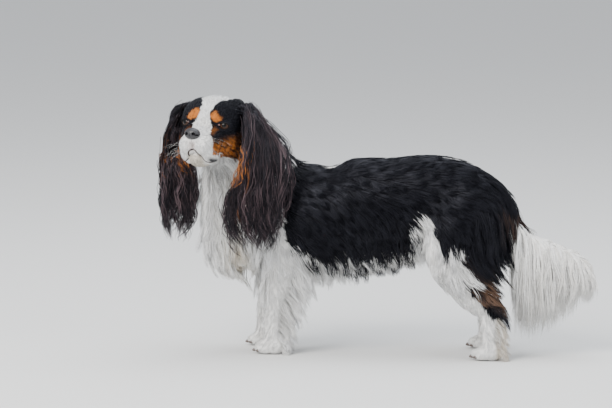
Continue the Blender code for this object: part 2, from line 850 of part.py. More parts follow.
def rump_locks(rng):
    """Rays, lie and sizes of the hair over the rump and the tuft at the withers."""
    for side in (-1, 0, 1):
        origin = Vector((0.5, side * 0.030, 0.262 - 0.012 * abs(side)))
        lie = Vector((0.3, side * 0.1, -0.9)).normalized()
        yield origin, Vector((-1, 0, 0)), lie, rng.uniform(0.034, 0.042), 0.020, 0.0050, 0.6
    for side in (-1, 1):
        origin = Vector((-0.012, side * 0.010, 0.5))
        lie = Vector((1, side * 0.05, 0.32)).normalized()
        yield origin, DOWN, lie, 0.034, 0.014, 0.0045, 0.0


def comb_body(nodes, trees):
    """Set the body's locks on the nodes that their rays meet, one union a node."""
    rng = random.Random(7)
    plans = {}
    for field in (chest_locks, belly_locks, leg_locks, rump_locks):
        for origin, way, lie, length, width, thick, droop in field(rng):
            met = cast(trees, origin, way)
            if met and met[0] in BODY_NODES:
                plan = (met[1], lie, length, width, thick, droop)
                plans.setdefault(met[0], []).append(plan)
    for name, plan in plans.items():
        locks = [comb_lock(trees, name, *each, rng) for each in plan]
        locks = [each for each in locks if each]
        if locks:
            unite(nodes[name], locks)
            trees[name] = tree_of(nodes[name])


def comb_tail(nodes, trees):
    """The plume: locks that leave the tail bone on both sides and fall to its lower edge."""
    rng = random.Random(12)
    line = smooth_rows(TAIL, 8)
    locks = []
    for k in range(PLUME_LOCKS):
        t = 0.10 + 0.86 * k / (PLUME_LOCKS - 1)
        x, z, radius, low = line[int(t * (len(line) - 1))]
        for side in (-1, 1):
            sweep = -0.014 + 0.026 * t + rng.uniform(-0.005, 0.005)
            aside = Vector((0, side, 0))
            start = Vector((x, side * radius * 0.3, z + LIFT))
            shoulder = start + aside * (PLUME_SPREAD * 0.8) + Vector((sweep * 0.7, 0, 0.004))
            end = Vector((x + sweep, side * rng.uniform(0.004, 0.020), low + rng.uniform(0, 0.02)))
            points = []
            for u in spread(0, 1, LOCK_POINTS):
                middle = shoulder * (2 * u * (1 - u))
                points.append(start * (1 - u) ** 2 + middle + end * u**2)
            made = bent_lock(trees, "tail", points, [aside] * LOCK_POINTS, aside, 0.024, 0.0075)
            if made:
                locks.append(made)
    unite(nodes["tail"], locks)
    trees["tail"] = tree_of(nodes["tail"])


def comb_ear(nodes, trees, name, line, outer):
    """Wavy locks in tiers down both faces of an ear's leather, out to its tips."""
    rng = random.Random(name)
    locks = []
    for face, begin, end, count in EAR_TIERS:
        face *= outer
        for w in spread(-0.88, 0.88, count):
            shift = rng.uniform(-0.08, 0.08)
            stop = min(end + rng.uniform(-0.07, 0.04), 1.0)
            phase = rng.uniform(0, math.tau)
            points, normals = [], []
            for u in spread(0, 1, LOCK_POINTS):
                centre, wide, flat, half, thick = ear_frame(line, begin + (stop - begin) * u)
                across = w + shift * u + 0.10 * math.sin(phase + 7 * u)
                depth = face * thick * (0.75 - 0.5 * begin + 0.2 * u) * (1 if u else 0.3)
                points.append(centre + wide * half * across + flat * depth)
                normals.append(flat * face)
            made = bent_lock(trees, name, points, normals, normals[2], 0.021, 0.0062)
            if made:
                locks.append(made)
    unite(nodes[name], locks)
    trees[name] = tree_of(nodes[name])


def stand_on_origin(nodes):
    """Move every piece so that the whole stands centred on the origin."""
    spots = np.array([v.co for thing in nodes.values() for v in thing.data.vertices])
    low, high = spots.min(axis=0), spots.max(axis=0)
    shift = Vector((-(low[0] + high[0]) / 2, -(low[1] + high[1]) / 2, -low[2]))
    for thing in nodes.values():
        thing.data.transform(Matrix.Translation(shift))


def dress(thing, finish):
    """Give a piece its one material and smooth shading."""
    thing.data.materials.clear()
    thing.data.materials.append(finish_of(finish))
    thing.data.shade_smooth()
    thing.data.set_sharp_from_angle(angle=math.radians(50))


def main():
    clear_scene()
    nodes = build_body()
    nodes.update(build_head())
    seat(nodes["neck"], nodes["head"], nodes["jaw"])
    nodes["tail"] = build_tail()
    seat(nodes["tail"], nodes["torso"], nodes["thigh_left"], nodes["thigh_right"])
    lines = {"ear_left": ear_line(EAR_LEFT, 1), "ear_right": ear_line(EAR_RIGHT, -1)}
    for name, line in lines.items():
        nodes[name] = ear_core(name, line)
        seat(nodes[name], nodes["head"], nodes["jaw"], nodes["neck"], nodes["torso"])
    trees = {name: tree_of(thing) for name, thing in nodes.items()}
    comb_body(nodes, trees)
    comb_tail(nodes, trees)
    comb_ear(nodes, trees, "ear_left", lines["ear_left"], -1)
    comb_ear(nodes, trees, "ear_right", lines["ear_right"], 1)
    for name, thing in nodes.items():
        thing.name = name
        dress(thing, FINISHES.get(name, "white_coat"))
    stand_on_origin(nodes)


main()
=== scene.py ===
"""A life-size cavalier king charles spaniel: its skin, eyes, nose, coat and a plain stage.

The dog's body faces -X and its left side is -Y. All shapes are made in the dog's own
metres, with its feet on z = 0, and placed by one shift that is read from the left eye.
"""

import math

import bmesh
import bpy
import numpy as np
from bpy.props import FloatProperty, FloatVectorProperty, IntProperty, PointerProperty
from mathutils import Matrix, Vector
from mathutils.bvhtree import BVHTree
from mathutils.kdtree import KDTree


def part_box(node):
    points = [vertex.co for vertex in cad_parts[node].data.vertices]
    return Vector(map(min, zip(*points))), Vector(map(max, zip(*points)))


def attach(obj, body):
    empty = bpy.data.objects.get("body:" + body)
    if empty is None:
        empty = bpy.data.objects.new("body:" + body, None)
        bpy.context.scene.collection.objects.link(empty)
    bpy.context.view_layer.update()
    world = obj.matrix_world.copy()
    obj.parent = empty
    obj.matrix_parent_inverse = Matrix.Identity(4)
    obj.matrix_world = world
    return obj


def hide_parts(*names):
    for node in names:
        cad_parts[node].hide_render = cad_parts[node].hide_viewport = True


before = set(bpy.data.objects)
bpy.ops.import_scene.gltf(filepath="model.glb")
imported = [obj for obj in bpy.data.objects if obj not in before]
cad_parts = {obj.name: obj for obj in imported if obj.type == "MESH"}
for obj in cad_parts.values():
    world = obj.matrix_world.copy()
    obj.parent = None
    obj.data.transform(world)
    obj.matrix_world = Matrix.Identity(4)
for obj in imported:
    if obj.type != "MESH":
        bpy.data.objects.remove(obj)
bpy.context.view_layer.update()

bl_info = {
    "name": "Cavalier king charles spaniel",
    "version": (1, 0, 0),
    "blender": (4, 5, 0),
    "location": "3D View > Sidebar > Spaniel",
    "description": "A life-size standing spaniel with a tricolour coat of mesh hair",
    "category": "Object",
}

# The head: the skull's centre, how far it is turned from the body's line, and its lift
LIFT = 0.008
SKULL = Vector((-0.2134, -0.062, 0.3704 + LIFT))
HEAD_TURN = math.radians(73)
HEAD_PITCH = math.radians(8)
EYE_RADIUS = 0.0115
EYE_LOW = 0.0012
EYE_MOVES = {1: (0.0, 0.0012, -0.0038), -1: (0.0, 0.0018, -0.0010)}
EYE = (0.0335, 0.0325, 0.002)
NOSE = (0.082, 0.0, -0.0185)
NOSE_SIZE = (0.0105, 0.0135, 0.0098)
# Edge of the upper lip from the cleft to the corner, as left and up of the skull's centre
LIP_EDGE = (
    (0.0, -0.0428), (0.0050, -0.0448), (0.0100, -0.0510), (0.0140, -0.0580), (0.0200, -0.0625),
    (0.0250, -0.0615), (0.0290, -0.0560),
)
# How far the right legs stand from the left ones
STEP_FORE = -0.025
STEP_HIND = -0.017

# Hair: how deep it is rooted, and the least air over the skin and the floor
ROOT_DEPTH = 0.0008
LEAST_AIR = 0.0004
FLOOR_AIR = 0.0006
# A hair's thickness against its width, its patch on the unwrap, and the unwrap's name
HAIR_FLATNESS = 0.45
HAIR_PATCH = 0.003
HAIR_MAP = "OFBake"
# Painted shade: how much darker the skin's markings are than the hair, as shade under the coat
SKIN_PAINTED_SHADE = 0.8
COAT_DEPTH = {"trunk": 0.006, "neck": 0.007, "leg": 0.0022, "bone": 0.002}

# Trunk sections along the body: x, top, bottom, half width
TRUNK = (
    (-0.200, 0.255, 0.165, 0.040), (-0.175, 0.280, 0.135, 0.058),
    (-0.130, 0.302, 0.120, 0.072), (-0.070, 0.307, 0.120, 0.080),
    (-0.028, 0.301, 0.126, 0.081), (0.006, 0.316, 0.131, 0.081),
    (0.060, 0.316, 0.140, 0.079), (0.110, 0.321, 0.155, 0.074),
    (0.150, 0.321, 0.162, 0.070), (0.186, 0.314, 0.168, 0.068),
    (0.228, 0.293, 0.178, 0.060), (0.255, 0.268, 0.190, 0.046),
    (0.272, 0.240, 0.205, 0.026),
)
# Limbs: x, y, z, half depth, half width
NECK = (
    (-0.085, 0.000, 0.223, 0.073, 0.070), (-0.130, -0.006, 0.266, 0.072, 0.068),
    (-0.165, -0.018, 0.308, 0.066, 0.062), (-0.195, -0.036, 0.348, 0.056, 0.054),
    (-0.208, -0.050, 0.376, 0.044, 0.044),
)
FORELEG = (
    (-0.112, -0.035, 0.215, 0.046, 0.030), (-0.102, -0.040, 0.165, 0.036, 0.027),
    (-0.108, -0.043, 0.122, 0.026, 0.021), (-0.117, -0.043, 0.086, 0.0190, 0.0175),
    (-0.122, -0.043, 0.050, 0.0165, 0.0160), (-0.124, -0.043, 0.018, 0.0165, 0.0165),
)
THIGH = (
    (0.212, -0.034, 0.270, 0.048, 0.030), (0.195, -0.044, 0.232, 0.060, 0.038),
    (0.178, -0.054, 0.195, 0.050, 0.034), (0.168, -0.060, 0.163, 0.037, 0.028),
    (0.186, -0.060, 0.128, 0.028, 0.022), (0.212, -0.060, 0.098, 0.023, 0.018),
    (0.236, -0.060, 0.080, 0.0180, 0.0155),
)
REAR_PASTERN = (
    (0.236, -0.060, 0.090, 0.0150, 0.0130), (0.237, -0.060, 0.062, 0.0165, 0.0145),
    (0.238, -0.060, 0.036, 0.0155, 0.0150), (0.238, -0.060, 0.014, 0.0165, 0.0160),
)
FORE_PAW = (-0.124, -0.043)
HIND_PAW = (0.235, -0.060)
# Toes: ahead of the paw's middle and aside from it
TOES = ((0.010, 0.0118), (0.017, 0.0043))
# Chest under the bib, in level slices: x, y, z, half depth, half width
BREAST = (
    (-0.178, -0.030, 0.338, 0.042, 0.036), (-0.193, -0.024, 0.298, 0.042, 0.040),
    (-0.199, -0.012, 0.248, 0.042, 0.042), (-0.196, -0.006, 0.200, 0.042, 0.042),
    (-0.190, -0.004, 0.164, 0.042, 0.040), (-0.174, -0.004, 0.142, 0.030, 0.032),
)
# Ears as they hang: x, y, z, half width, half thickness, plan direction of the width
EAR_LEFT = (
    (-0.160, -0.070, 0.405, 0.016, 0.009, 66), (-0.150, -0.077, 0.385, 0.021, 0.010, 50),
    (-0.138, -0.087, 0.350, 0.031, 0.010, 30), (-0.133, -0.097, 0.318, 0.037, 0.010, 15),
    (-0.136, -0.103, 0.280, 0.045, 0.010, 8), (-0.142, -0.106, 0.250, 0.051, 0.009, 5),
    (-0.144, -0.106, 0.220, 0.050, 0.008, 0), (-0.142, -0.104, 0.196, 0.044, 0.007, 0),
    (-0.138, -0.101, 0.170, 0.033, 0.004, 0),
)
EAR_RIGHT = (
    (-0.268, -0.038, 0.404, 0.016, 0.009, 76), (-0.279, -0.040, 0.375, 0.022, 0.010, 68),
    (-0.286, -0.043, 0.340, 0.027, 0.010, 48), (-0.284, -0.046, 0.310, 0.033, 0.010, 34),
    (-0.279, -0.048, 0.278, 0.037, 0.010, 26), (-0.280, -0.050, 0.245, 0.036, 0.009, 20),
    (-0.279, -0.050, 0.213, 0.030, 0.008, 20), (-0.281, -0.050, 0.182, 0.018, 0.004, 20),
)
EAR_ROOT = ((-0.006, 0.030, 0.018, 0.013, 0.006), (-0.006, 0.047, 0.028, 0.015, 0.008))
# Share of an ear's length that is leather, from the skull down
EAR_LEATHER = 0.52
# Parts of the one skin, in the order in which they are joined
PARTS = ("body", "head", "jaw", "ear_left", "ear_right")
# Tail bone: x, z, radius, then the height of the plume's lower edge
TAIL = (
    (0.258, 0.226, 0.016, 0.100), (0.272, 0.208, 0.014, 0.048),
    (0.292, 0.193, 0.011, 0.036), (0.315, 0.184, 0.010, 0.040),
    (0.338, 0.174, 0.009, 0.052), (0.360, 0.163, 0.008, 0.066),
    (0.378, 0.148, 0.006, 0.088),
)
# Lower edge of the plume past the bone's end: x, z
PLUME_END = (0.402, 0.094)
# Balls of the head and jaw: forward, left and up of the skull's centre, then their radii
HEAD_BALLS = (
    ((-0.004, 0, 0.000), (0.053, 0.049, 0.047)),
    ((0.004, 0.020, 0.006), (0.045, 0.031, 0.037)),
    ((0.022, 0.016, 0.012), (0.024, 0.024, 0.024)),
    ((-0.008, 0.030, 0.018), (0.030, 0.020, 0.0245)),
    ((0.010, 0.030, -0.024), (0.033, 0.021, 0.027)),
    ((0.030, 0.018, -0.026), (0.031, 0.023, 0.023)),
    ((0.050, 0, -0.020), (0.029, 0.017, 0.013)),
    ((0.052, 0.010, -0.034), (0.029, 0.019, 0.021)),
    ((0.064, 0.0125, -0.036), (0.0203, 0.0150, 0.0170)),
    ((0.050, 0.0190, -0.045), (0.0230, 0.0110, 0.0200)),
    ((0.072, 0, -0.024), (0.0133, 0.0140, 0.0133)),
)
JAW_BALLS = (
    ((0.022, 0, -0.050), (0.038, 0.0250, 0.0160)),
    ((0.048, 0, -0.0565), (0.0240, 0.0170, 0.0135)),
)
# Lids: their thickness, and the half width and half height of their opening
LID_THICK = 0.0014
LID_OPENING = (0.0109, 0.0055)
LID_STEPS = 40
# The stage: half the floor's side, and the view's middle right and up of the dog's origin
FLOOR_REACH = 40.0
VIEW_MIDDLE = (-0.0726, 0.2426)
# Soft lights: place, width, power and colour
LIGHTS = {
    "key": ((-1.6, -2.6, 2.6), 2.4, 205.0, (1.0, 0.97, 0.93)),
    "top": ((0.3, 0.4, 3.0), 2.6, 85.0, (0.92, 0.96, 1.0)),
    "side": ((2.6, -1.2, 1.4), 1.8, 30.0, (0.95, 0.97, 1.0)),
}
# Edge of the black saddle on the left side, as x and z
SADDLE = (
    (-0.092, 0.400), (-0.090, 0.310), (-0.100, 0.262), (-0.106, 0.220), (-0.092, 0.176),
    (-0.066, 0.158),
    (-0.030, 0.148), (0.015, 0.150), (0.063, 0.150), (0.085, 0.162), (0.103, 0.166),
    (0.115, 0.192), (0.131, 0.220), (0.146, 0.229), (0.156, 0.213), (0.156, 0.200),
    (0.155, 0.171), (0.170, 0.155), (0.176, 0.167), (0.188, 0.162), (0.199, 0.167),
    (0.211, 0.147), (0.219, 0.136), (0.207, 0.130), (0.219, 0.101), (0.233, 0.074),
    (0.246, 0.062), (0.258, 0.077), (0.266, 0.091), (0.264, 0.195), (0.276, 0.212),
    (0.276, 0.400),
)


def head_axes():
    """Forward, left and up for the turned head."""
    forward = Vector((
        -math.cos(HEAD_TURN) * math.cos(HEAD_PITCH),
        -math.sin(HEAD_TURN) * math.cos(HEAD_PITCH),
        math.sin(HEAD_PITCH),
    ))
    left = Vector((0, 0, 1)).cross(forward).normalized()
    return forward, left, forward.cross(left)


HEAD = np.array(head_axes())
AXES = head_axes()


def on_head(f, s, u):
    """A point given forward, left and up of the skull's centre."""
    return SKULL + AXES[0] * f + AXES[1] * s + AXES[2] * u


def eye_place(side):
    """An eye's place on a head that is carried straight."""
    return on_head(EYE[0], side * EYE[1], EYE[2])


def eye_seat(side):
    """Where an eye sits, the head being carried a little askew."""
    f, s, u = EYE_MOVES[side]
    return on_head(EYE[0] + f, side * EYE[1] + s, EYE[2] + u)


def find_shift():
    """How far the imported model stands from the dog's own coordinates."""
    low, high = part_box("eye_left")
    return (low + high) / 2 - eye_place(1)


SHIFT = find_shift()


# Meshes


def new_object(name, mesh):
    """An object in the scene for a mesh."""
    thing = bpy.data.objects.new(name, mesh)
    bpy.context.scene.collection.objects.link(thing)
    return thing


def remove(thing):
    """Take away an object and its mesh."""
    mesh = thing.data
    bpy.data.objects.remove(thing, do_unlink=True)
    bpy.data.meshes.remove(mesh)


def add_mesh(name, points, faces):
    """An object from points and faces, turned so that its faces point out."""
    mesh = bpy.data.meshes.new(name)
    mesh.from_pydata([tuple(p) for p in points], [], faces)
    shell = bmesh.new()
    shell.from_mesh(mesh)
    if shell.calc_volume(signed=True) < 0:
        bmesh.ops.reverse_faces(shell, faces=shell.faces)
    shell.to_mesh(mesh)
    shell.free()
    return new_object(name, mesh)


def skin_rings(name, rings):
    """A closed mesh over rings of points that have the same count."""
    count = len(rings[0])
    faces = []
    for row in range(len(rings) - 1):
        for i in range(count):
            j = (i + 1) % count
            low, high = row * count, (row + 1) * count
            faces.append((low + i, low + j, high + j, high + i))
    faces.append(tuple(reversed(range(count))))
    faces.append(tuple(range((len(rings) - 1) * count, len(rings) * count)))
    return add_mesh(name, [p for each in rings for p in each], faces)


def ring(centre, side, up, half_side, half_up, count=24, square=1.0):
    """Points round an oval, boxier as square falls below 1."""
    points = []
    for i in range(count):
        turn = math.tau * i / count
        c, s = math.cos(turn), math.sin(turn)
        a = math.copysign(abs(c) ** square, c) * half_side
        b = math.copysign(abs(s) ** square, s) * half_up
        points.append(centre + side * a + up * b)
    return points


def smooth_rows(rows, steps):
    """The rows' numbers along a smooth curve, with steps spans between two rows."""
    table = np.array(rows, dtype=float)
    ends = np.vstack((2 * table[0] - table[1], table, 2 * table[-1] - table[-2]))
    out = []
    for k in range(1, len(ends) - 2):
        a, b, c, d = ends[k - 1 : k + 3]
        for i in range(steps):
            t = i / steps
            bend = (2 * a - 5 * b + 4 * c - d) * t**2 + (3 * b - a - 3 * c + d) * t**3
            out.append(b + 0.5 * ((c - a) * t + bend))
    out.append(table[-1])
    return np.array(out)


def tube(name, rows, slim):
    """A limb through rows of centre, half depth and half width, slimmed by a depth of coat."""
    rows = smooth_rows(rows, 4)
    rings = []
    for k, (x, y, z, depth, width) in enumerate(rows):
        before, after = rows[max(k - 1, 0)], rows[min(k + 1, len(rows) - 1)]
        along = Vector(after[:3]) - Vector(before[:3])
        across = along.cross(Vector((0, 1, 0))).normalized()
        lateral = across.cross(along).normalized()
        centre = Vector((x, y, z))
        rings.append(ring(centre, lateral, across, width - slim, depth - slim))
    return skin_rings(name, rings)


def slices(name, rows):
    """A form built up in level slices."""
    x_axis, y_axis = Vector((1, 0, 0)), Vector((0, 1, 0))
    rings = [
        ring(Vector((x, y, z)), y_axis, x_axis, half, depth)
        for x, y, z, depth, half in smooth_rows(rows, 3)
    ]
    return skin_rings(name, rings)


def ball(name, centre, radii, axes=None, around=32):
    """An ellipsoid with its radii along three right-handed axes."""
    shell = bmesh.new()
    bmesh.ops.create_uvsphere(shell, u_segments=around, v_segments=around * 5 // 8, radius=1.0)
    axes = axes or (Vector((1, 0, 0)), Vector((0, 1, 0)), Vector((0, 0, 1)))
    for v in shell.verts:
        place = Vector(centre)
        for axis, radius, amount in zip(axes, radii, v.co):
            place = place + axis * (radius * amount)
        v.co = place
    mesh = bpy.data.meshes.new(name)
    shell.to_mesh(mesh)
    shell.free()
    return new_object(name, mesh)


def apply_modifier(thing, kind, **settings):
    """Run one modifier and keep its result in the mesh."""
    modifier = thing.modifiers.new(kind.lower(), kind)
    for key, value in settings.items():
        setattr(modifier, key, value)
    shape = thing.evaluated_get(bpy.context.evaluated_depsgraph_get())
    mesh = bpy.data.meshes.new_from_object(shape)
    thing.modifiers.clear()
    old = thing.data
    thing.data = mesh
    bpy.data.meshes.remove(old)


def cut(thing, cutter):
    """Cut one shape out of another."""
    apply_modifier(thing, "BOOLEAN", object=cutter, operation="DIFFERENCE", solver="EXACT")
    remove(cutter)


def merge(name, pieces):
    """One object that holds several pieces as they are."""
    shell = bmesh.new()
    for piece in pieces:
        shell.from_mesh(piece.data)
        remove(piece)
    mesh = bpy.data.meshes.new(name)
    shell.to_mesh(mesh)
    shell.free()
    return new_object(name, mesh)


def fuse(name, pieces, grain, rounds):
    """One smooth closed body out of overlapping pieces."""
    thing = merge(name, pieces)
    apply_modifier(thing, "REMESH", mode="VOXEL", voxel_size=grain, adaptivity=0.0)
    apply_modifier(thing, "SMOOTH", factor=0.5, iterations=rounds)
    return thing


def unwrap(thing):
    """An unwrap of the piece's own shape."""
    thing.data.uv_layers.new(name=HAIR_MAP)
    bpy.context.view_layer.objects.active = thing
    for other in bpy.context.selected_objects:
        other.select_set(False)
    thing.select_set(True)
    bpy.ops.object.mode_set(mode="EDIT")
    bpy.ops.mesh.select_all(action="SELECT")
    bpy.ops.uv.smart_project(angle_limit=math.radians(66), island_margin=0.004)
    bpy.ops.object.mode_set(mode="OBJECT")


def finish_piece(thing, material, nodes=()):
    """Place a finished piece in the frame, with its material, its body and its nodes."""
    thing.data.transform(Matrix.Translation(SHIFT))
    thing.data.materials.clear()
    thing.data.materials.append(material)
    thing.data.shade_smooth()
    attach(thing, "root")
    if nodes:
        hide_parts(*nodes)
    return thing


# Number arrays


def unit(v):
    """Vectors of length 1."""
    return v / np.maximum(np.linalg.norm(v, axis=-1, keepdims=True), 1e-9)


def dot(a, b):
    """Dot products, row by row."""
    return (a * b).sum(-1)


def blend(low, high, value):
    """0 below low, 1 above high and a smooth rise between."""
    t = np.clip((value - low) / (high - low), 0, 1)
    return t * t * (3 - 2 * t)


def ripple(points, size, seed):
    """Smooth noise from about -1 to 1, with lumps of about the given size."""
    rng = np.random.default_rng(seed)
    total = np.zeros(len(points))
    for _ in range(6):
        way = unit(rng.normal(size=3)) * math.tau / (size * rng.uniform(1.6, 3.2))
        total += np.sin(points @ way + rng.uniform(0, math.tau))
    return total / 2.6


def in_outline(x, z, outline):
    """Which points lie inside a closed outline."""
    inside = np.zeros(len(x), dtype=bool)
    for (ax, az), (bx, bz) in zip(outline, outline[1:] + outline[:1]):
        spans = (az > z) != (bz > z)
        slope = (bx - ax) / (bz - az) if bz != az else 0.0
        inside ^= spans & (x < ax + slope * (z - az))
    return inside


def to_head(points):
    """Forward, left and up of the skull's centre."""
    return (points - np.array(SKULL)) @ HEAD.T


def vertex_places(mesh):
    """A mesh's vertices as rows of x, y and z."""
    co = np.empty(len(mesh.vertices) * 3)
    mesh.vertices.foreach_get("co", co)
    return co.reshape(-1, 3)


def store_colours(mesh, colours):
    """Keep a colour at each vertex for the hair and skin materials."""
    paint = np.concatenate((colours, np.ones((len(colours), 1))), axis=1)
    tint = mesh.color_attributes.new("coat", "FLOAT_COLOR", "POINT")
    tint.data.foreach_set("color", paint.reshape(-1).astype(np.float32))


def surface(part):
    """The skin's arrays in the dog's own coordinates, with the triangles of one part."""
    mesh = bpy.data.objects["skin"].data
    mesh.calc_loop_triangles()
    count = len(mesh.loop_triangles)
    corners, loops = np.empty(count * 3, np.int32), np.empty(count * 3, np.int32)
    mesh.loop_triangles.foreach_get("vertices", corners)
    mesh.loop_triangles.foreach_get("loops", loops)
    co = vertex_places(mesh) - np.array(SHIFT)
    normals = np.empty(len(co) * 3)
    mesh.vertex_normals.foreach_get("vector", normals)
    uv = np.empty(len(mesh.loops) * 2)
    mesh.uv_layers[HAIR_MAP].data.foreach_get("uv", uv)
    corners = corners.reshape(-1, 3)
    parts = np.empty(len(co), np.int32)
    mesh.attributes["part"].data.foreach_get("value", parts)
    mine = parts[corners].min(1) == PARTS.index(part)
    whole_uv = uv.reshape(-1, 2)[loops.reshape(-1, 3)]
    return {
        "co": co, "normals": normals.reshape(-1, 3), "corners": corners[mine],
        "uv": whole_uv[mine], "whole_uv": whole_uv,
        "tree": BVHTree.FromPolygons(co.tolist(), corners.tolist()),
        "own": BVHTree.FromPolygons(co.tolist(), corners[mine].tolist()),
    }


def scatter(skin, count, rng, weight):
    """Roots spread over a skin by a weight: places, normals and unwrap places."""
    a, b, c = (skin["co"][skin["corners"][:, i]] for i in range(3))
    area = np.linalg.norm(np.cross(b - a, c - a), axis=1)
    facing = unit(skin["normals"][skin["corners"]].mean(1))
    share = area * weight((a + b + c) / 3, facing)
    pick = rng.choice(len(area), count, p=share / share.sum())
    r, s = np.sqrt(rng.random(count)), rng.random(count)
    parts = np.stack((1 - r, r * (1 - s), r * s), axis=1)[:, :, None]
    roots = (skin["co"][skin["corners"][pick]] * parts).sum(1)
    normals = unit((skin["normals"][skin["corners"][pick]] * parts).sum(1))
    return roots, normals, (skin["uv"][pick] * parts).sum(1)


def nearest(tree, points):
    """The closest places on a skin, and the normals there."""
    found = [tree.find_nearest(point) for point in points.tolist()]
    return np.array([f[0][:] for f in found]), np.array([f[1][:] for f in found])


def drape(tree, roots, normals, lie, length, lift, droop, free, spans):
    """Lines that follow a skin along the lie and rise off it, or hang free of it."""
    down = np.array((0.0, 0.0, -1.0))
    lines, place, normal = [roots - normals * ROOT_DEPTH], roots, normals
    for k in range(1, spans + 1):
        t = k / spans
        way = lie(place, normal)
        way = unit(way - normal * (dot(way, normal) * (1 - free))[:, None])
        way = unit(way + down * (droop * t)[:, None])
        place = place + way * (length / spans)[:, None]
        spots, outs = nearest(tree, place)
        lack = LEAST_AIR + lift * t - dot(place - spots, outs)
        place = place + outs * np.where(lack > 0, lack, lack * (1 - free))[:, None]
        normal = unit(normal + outs)
        lines.append(place)
    lines = np.stack(lines, axis=1)
    lines[:, :, 2] = np.maximum(lines[:, :, 2], FLOOR_AIR)
    return lines


def clumps(roots, every, rng):
    """For each hair, the hair that leads its lock."""
    chiefs = rng.choice(len(roots), max(len(roots) // every, 1), replace=False)
    tree = KDTree(len(chiefs))
    for k, chief in enumerate(chiefs):
        tree.insert(roots[chief], k)
    tree.balance()
    return np.array([chiefs[tree.find(p)[1]] for p in roots.tolist()])


def gather(lines, mine, pull, rng):
    """Draw the tips of a lock's hairs together."""
    t = np.linspace(0, 1, lines.shape[1])[None, :, None]
    strength = pull * t**1.3 * rng.uniform(0.7, 1.0, (len(lines), 1, 1))
    return lines + (lines[mine] - lines) * strength


def wave(lines, normals, amount, turns, phase):
    """Wave the lines sideways and a little in and out, more towards their tips."""
    t = np.linspace(0, 1, lines.shape[1])[None, :]
    along = unit(lines[:, -1] - lines[:, 0])
    side = unit(np.cross(along, normals))
    angle = phase[:, None] + t * turns[:, None] * math.tau
    sway = (amount[:, None] * t**0.8 * (np.sin(angle) - np.sin(phase)[:, None]))[:, :, None]
    lift = (amount[:, None] * 0.4 * t * np.cos(angle))[:, :, None]
    return lines + side[:, None] * sway + normals[:, None] * lift


def keep_out(lines, tree, air):
    """Push the lines' points out of a skin, with air that grows to the tip."""
    count = lines.shape[1]
    for k in range(1, count):
        spots, outs = nearest(tree, lines[:, k])
        lack = air * (0.4 + k / count) - dot(lines[:, k] - spots, outs)
        lines[:, k] += outs * np.maximum(lack, 0)[:, None]
    return lines


def strands(name, lines, normals, width, colours, roots_uv):
    """Solid tapered hairs of three sides along centre lines, coloured from root to tip."""
    count, points, _ = lines.shape
    spans = points - 1
    along = np.empty((count, spans, 3))
    along[:, 0] = lines[:, 1] - lines[:, 0]
    along[:, 1:] = lines[:, 2:] - lines[:, :-2]
    wide = unit(np.cross(along, normals[:, None]))
    flat = unit(np.cross(wide, along))
    t = np.arange(spans) / spans
    half = (width[:, None] * 0.5 * (0.75 + 0.5 * t - 1.05 * t**2))[:, :, None]
    centre = lines[:, :-1]
    low, high = centre - flat * half * HAIR_FLATNESS, centre + flat * half * HAIR_FLATNESS
    rings = np.stack((low + wide * half, high, low - wide * half), 2)
    spots = np.concatenate((rings.reshape(count, spans * 3, 3), lines[:, -1:]), axis=1)

    each = spans * 3 + 1
    faces, places = [], [(i / 2, j / spans) for j in range(spans) for i in range(3)]
    places.append((0.5, 1.0))
    for j in range(spans - 1):
        for i in range(3):
            a, b = j * 3 + i, j * 3 + (i + 1) % 3
            faces += [(a, b, b + 3), (a, b + 3, a + 3)]
    for i in range(3):
        faces.append(((spans - 1) * 3 + i, (spans - 1) * 3 + (i + 1) % 3, each - 1))
    faces, places = np.array(faces), np.array(places)
    corners = (faces[None] + (np.arange(count) * each)[:, None, None]).reshape(-1)

    mesh = bpy.data.meshes.new(name)
    mesh.vertices.add(count * each)
    mesh.vertices.foreach_set("co", spots.reshape(-1).astype(np.float32))
    mesh.loops.add(len(corners))
    mesh.loops.foreach_set("vertex_index", corners.astype(np.int32))
    mesh.polygons.add(len(corners) // 3)
    mesh.polygons.foreach_set("loop_start", np.arange(0, len(corners), 3, dtype=np.int32))
    mesh.update(calc_edges=True)
    patch = np.clip(roots_uv, 0.0, 1 - HAIR_PATCH)[:, None]
    patch = patch + places[faces.reshape(-1)][None] * HAIR_PATCH
    layer = mesh.uv_layers.new(name=HAIR_MAP)
    layer.data.foreach_set("uv", patch.reshape(-1).astype(np.float32))
    share = places[:, 1][None, :, None]
    paint = colours[:, 0][:, None] * (1 - share) + colours[:, 1][:, None] * share
    store_colours(mesh, paint.reshape(-1, 3))
    return new_object(name, mesh)


# Markings


def colours_of(settings):
    """The coat's colours as arrays."""
    names = ("black", "white", "tan", "cream", "brown", "ear_dark", "ear_brown_and_highlight", "pink")
    return {name: np.array(getattr(settings, name)) for name in names}


def mix(low, high, share):
    """Colours between two, row by row."""
    share = np.asarray(share)[:, None]
    return low * (1 - share) + high * share


def patch_at(a, b, middle_a, middle_b, reach_a, reach_b):
    """A soft round patch: 1 in its middle, fading over its reach."""
    return np.exp(-((a - middle_a) / reach_a) ** 2 - ((b - middle_b) / reach_b) ** 2)


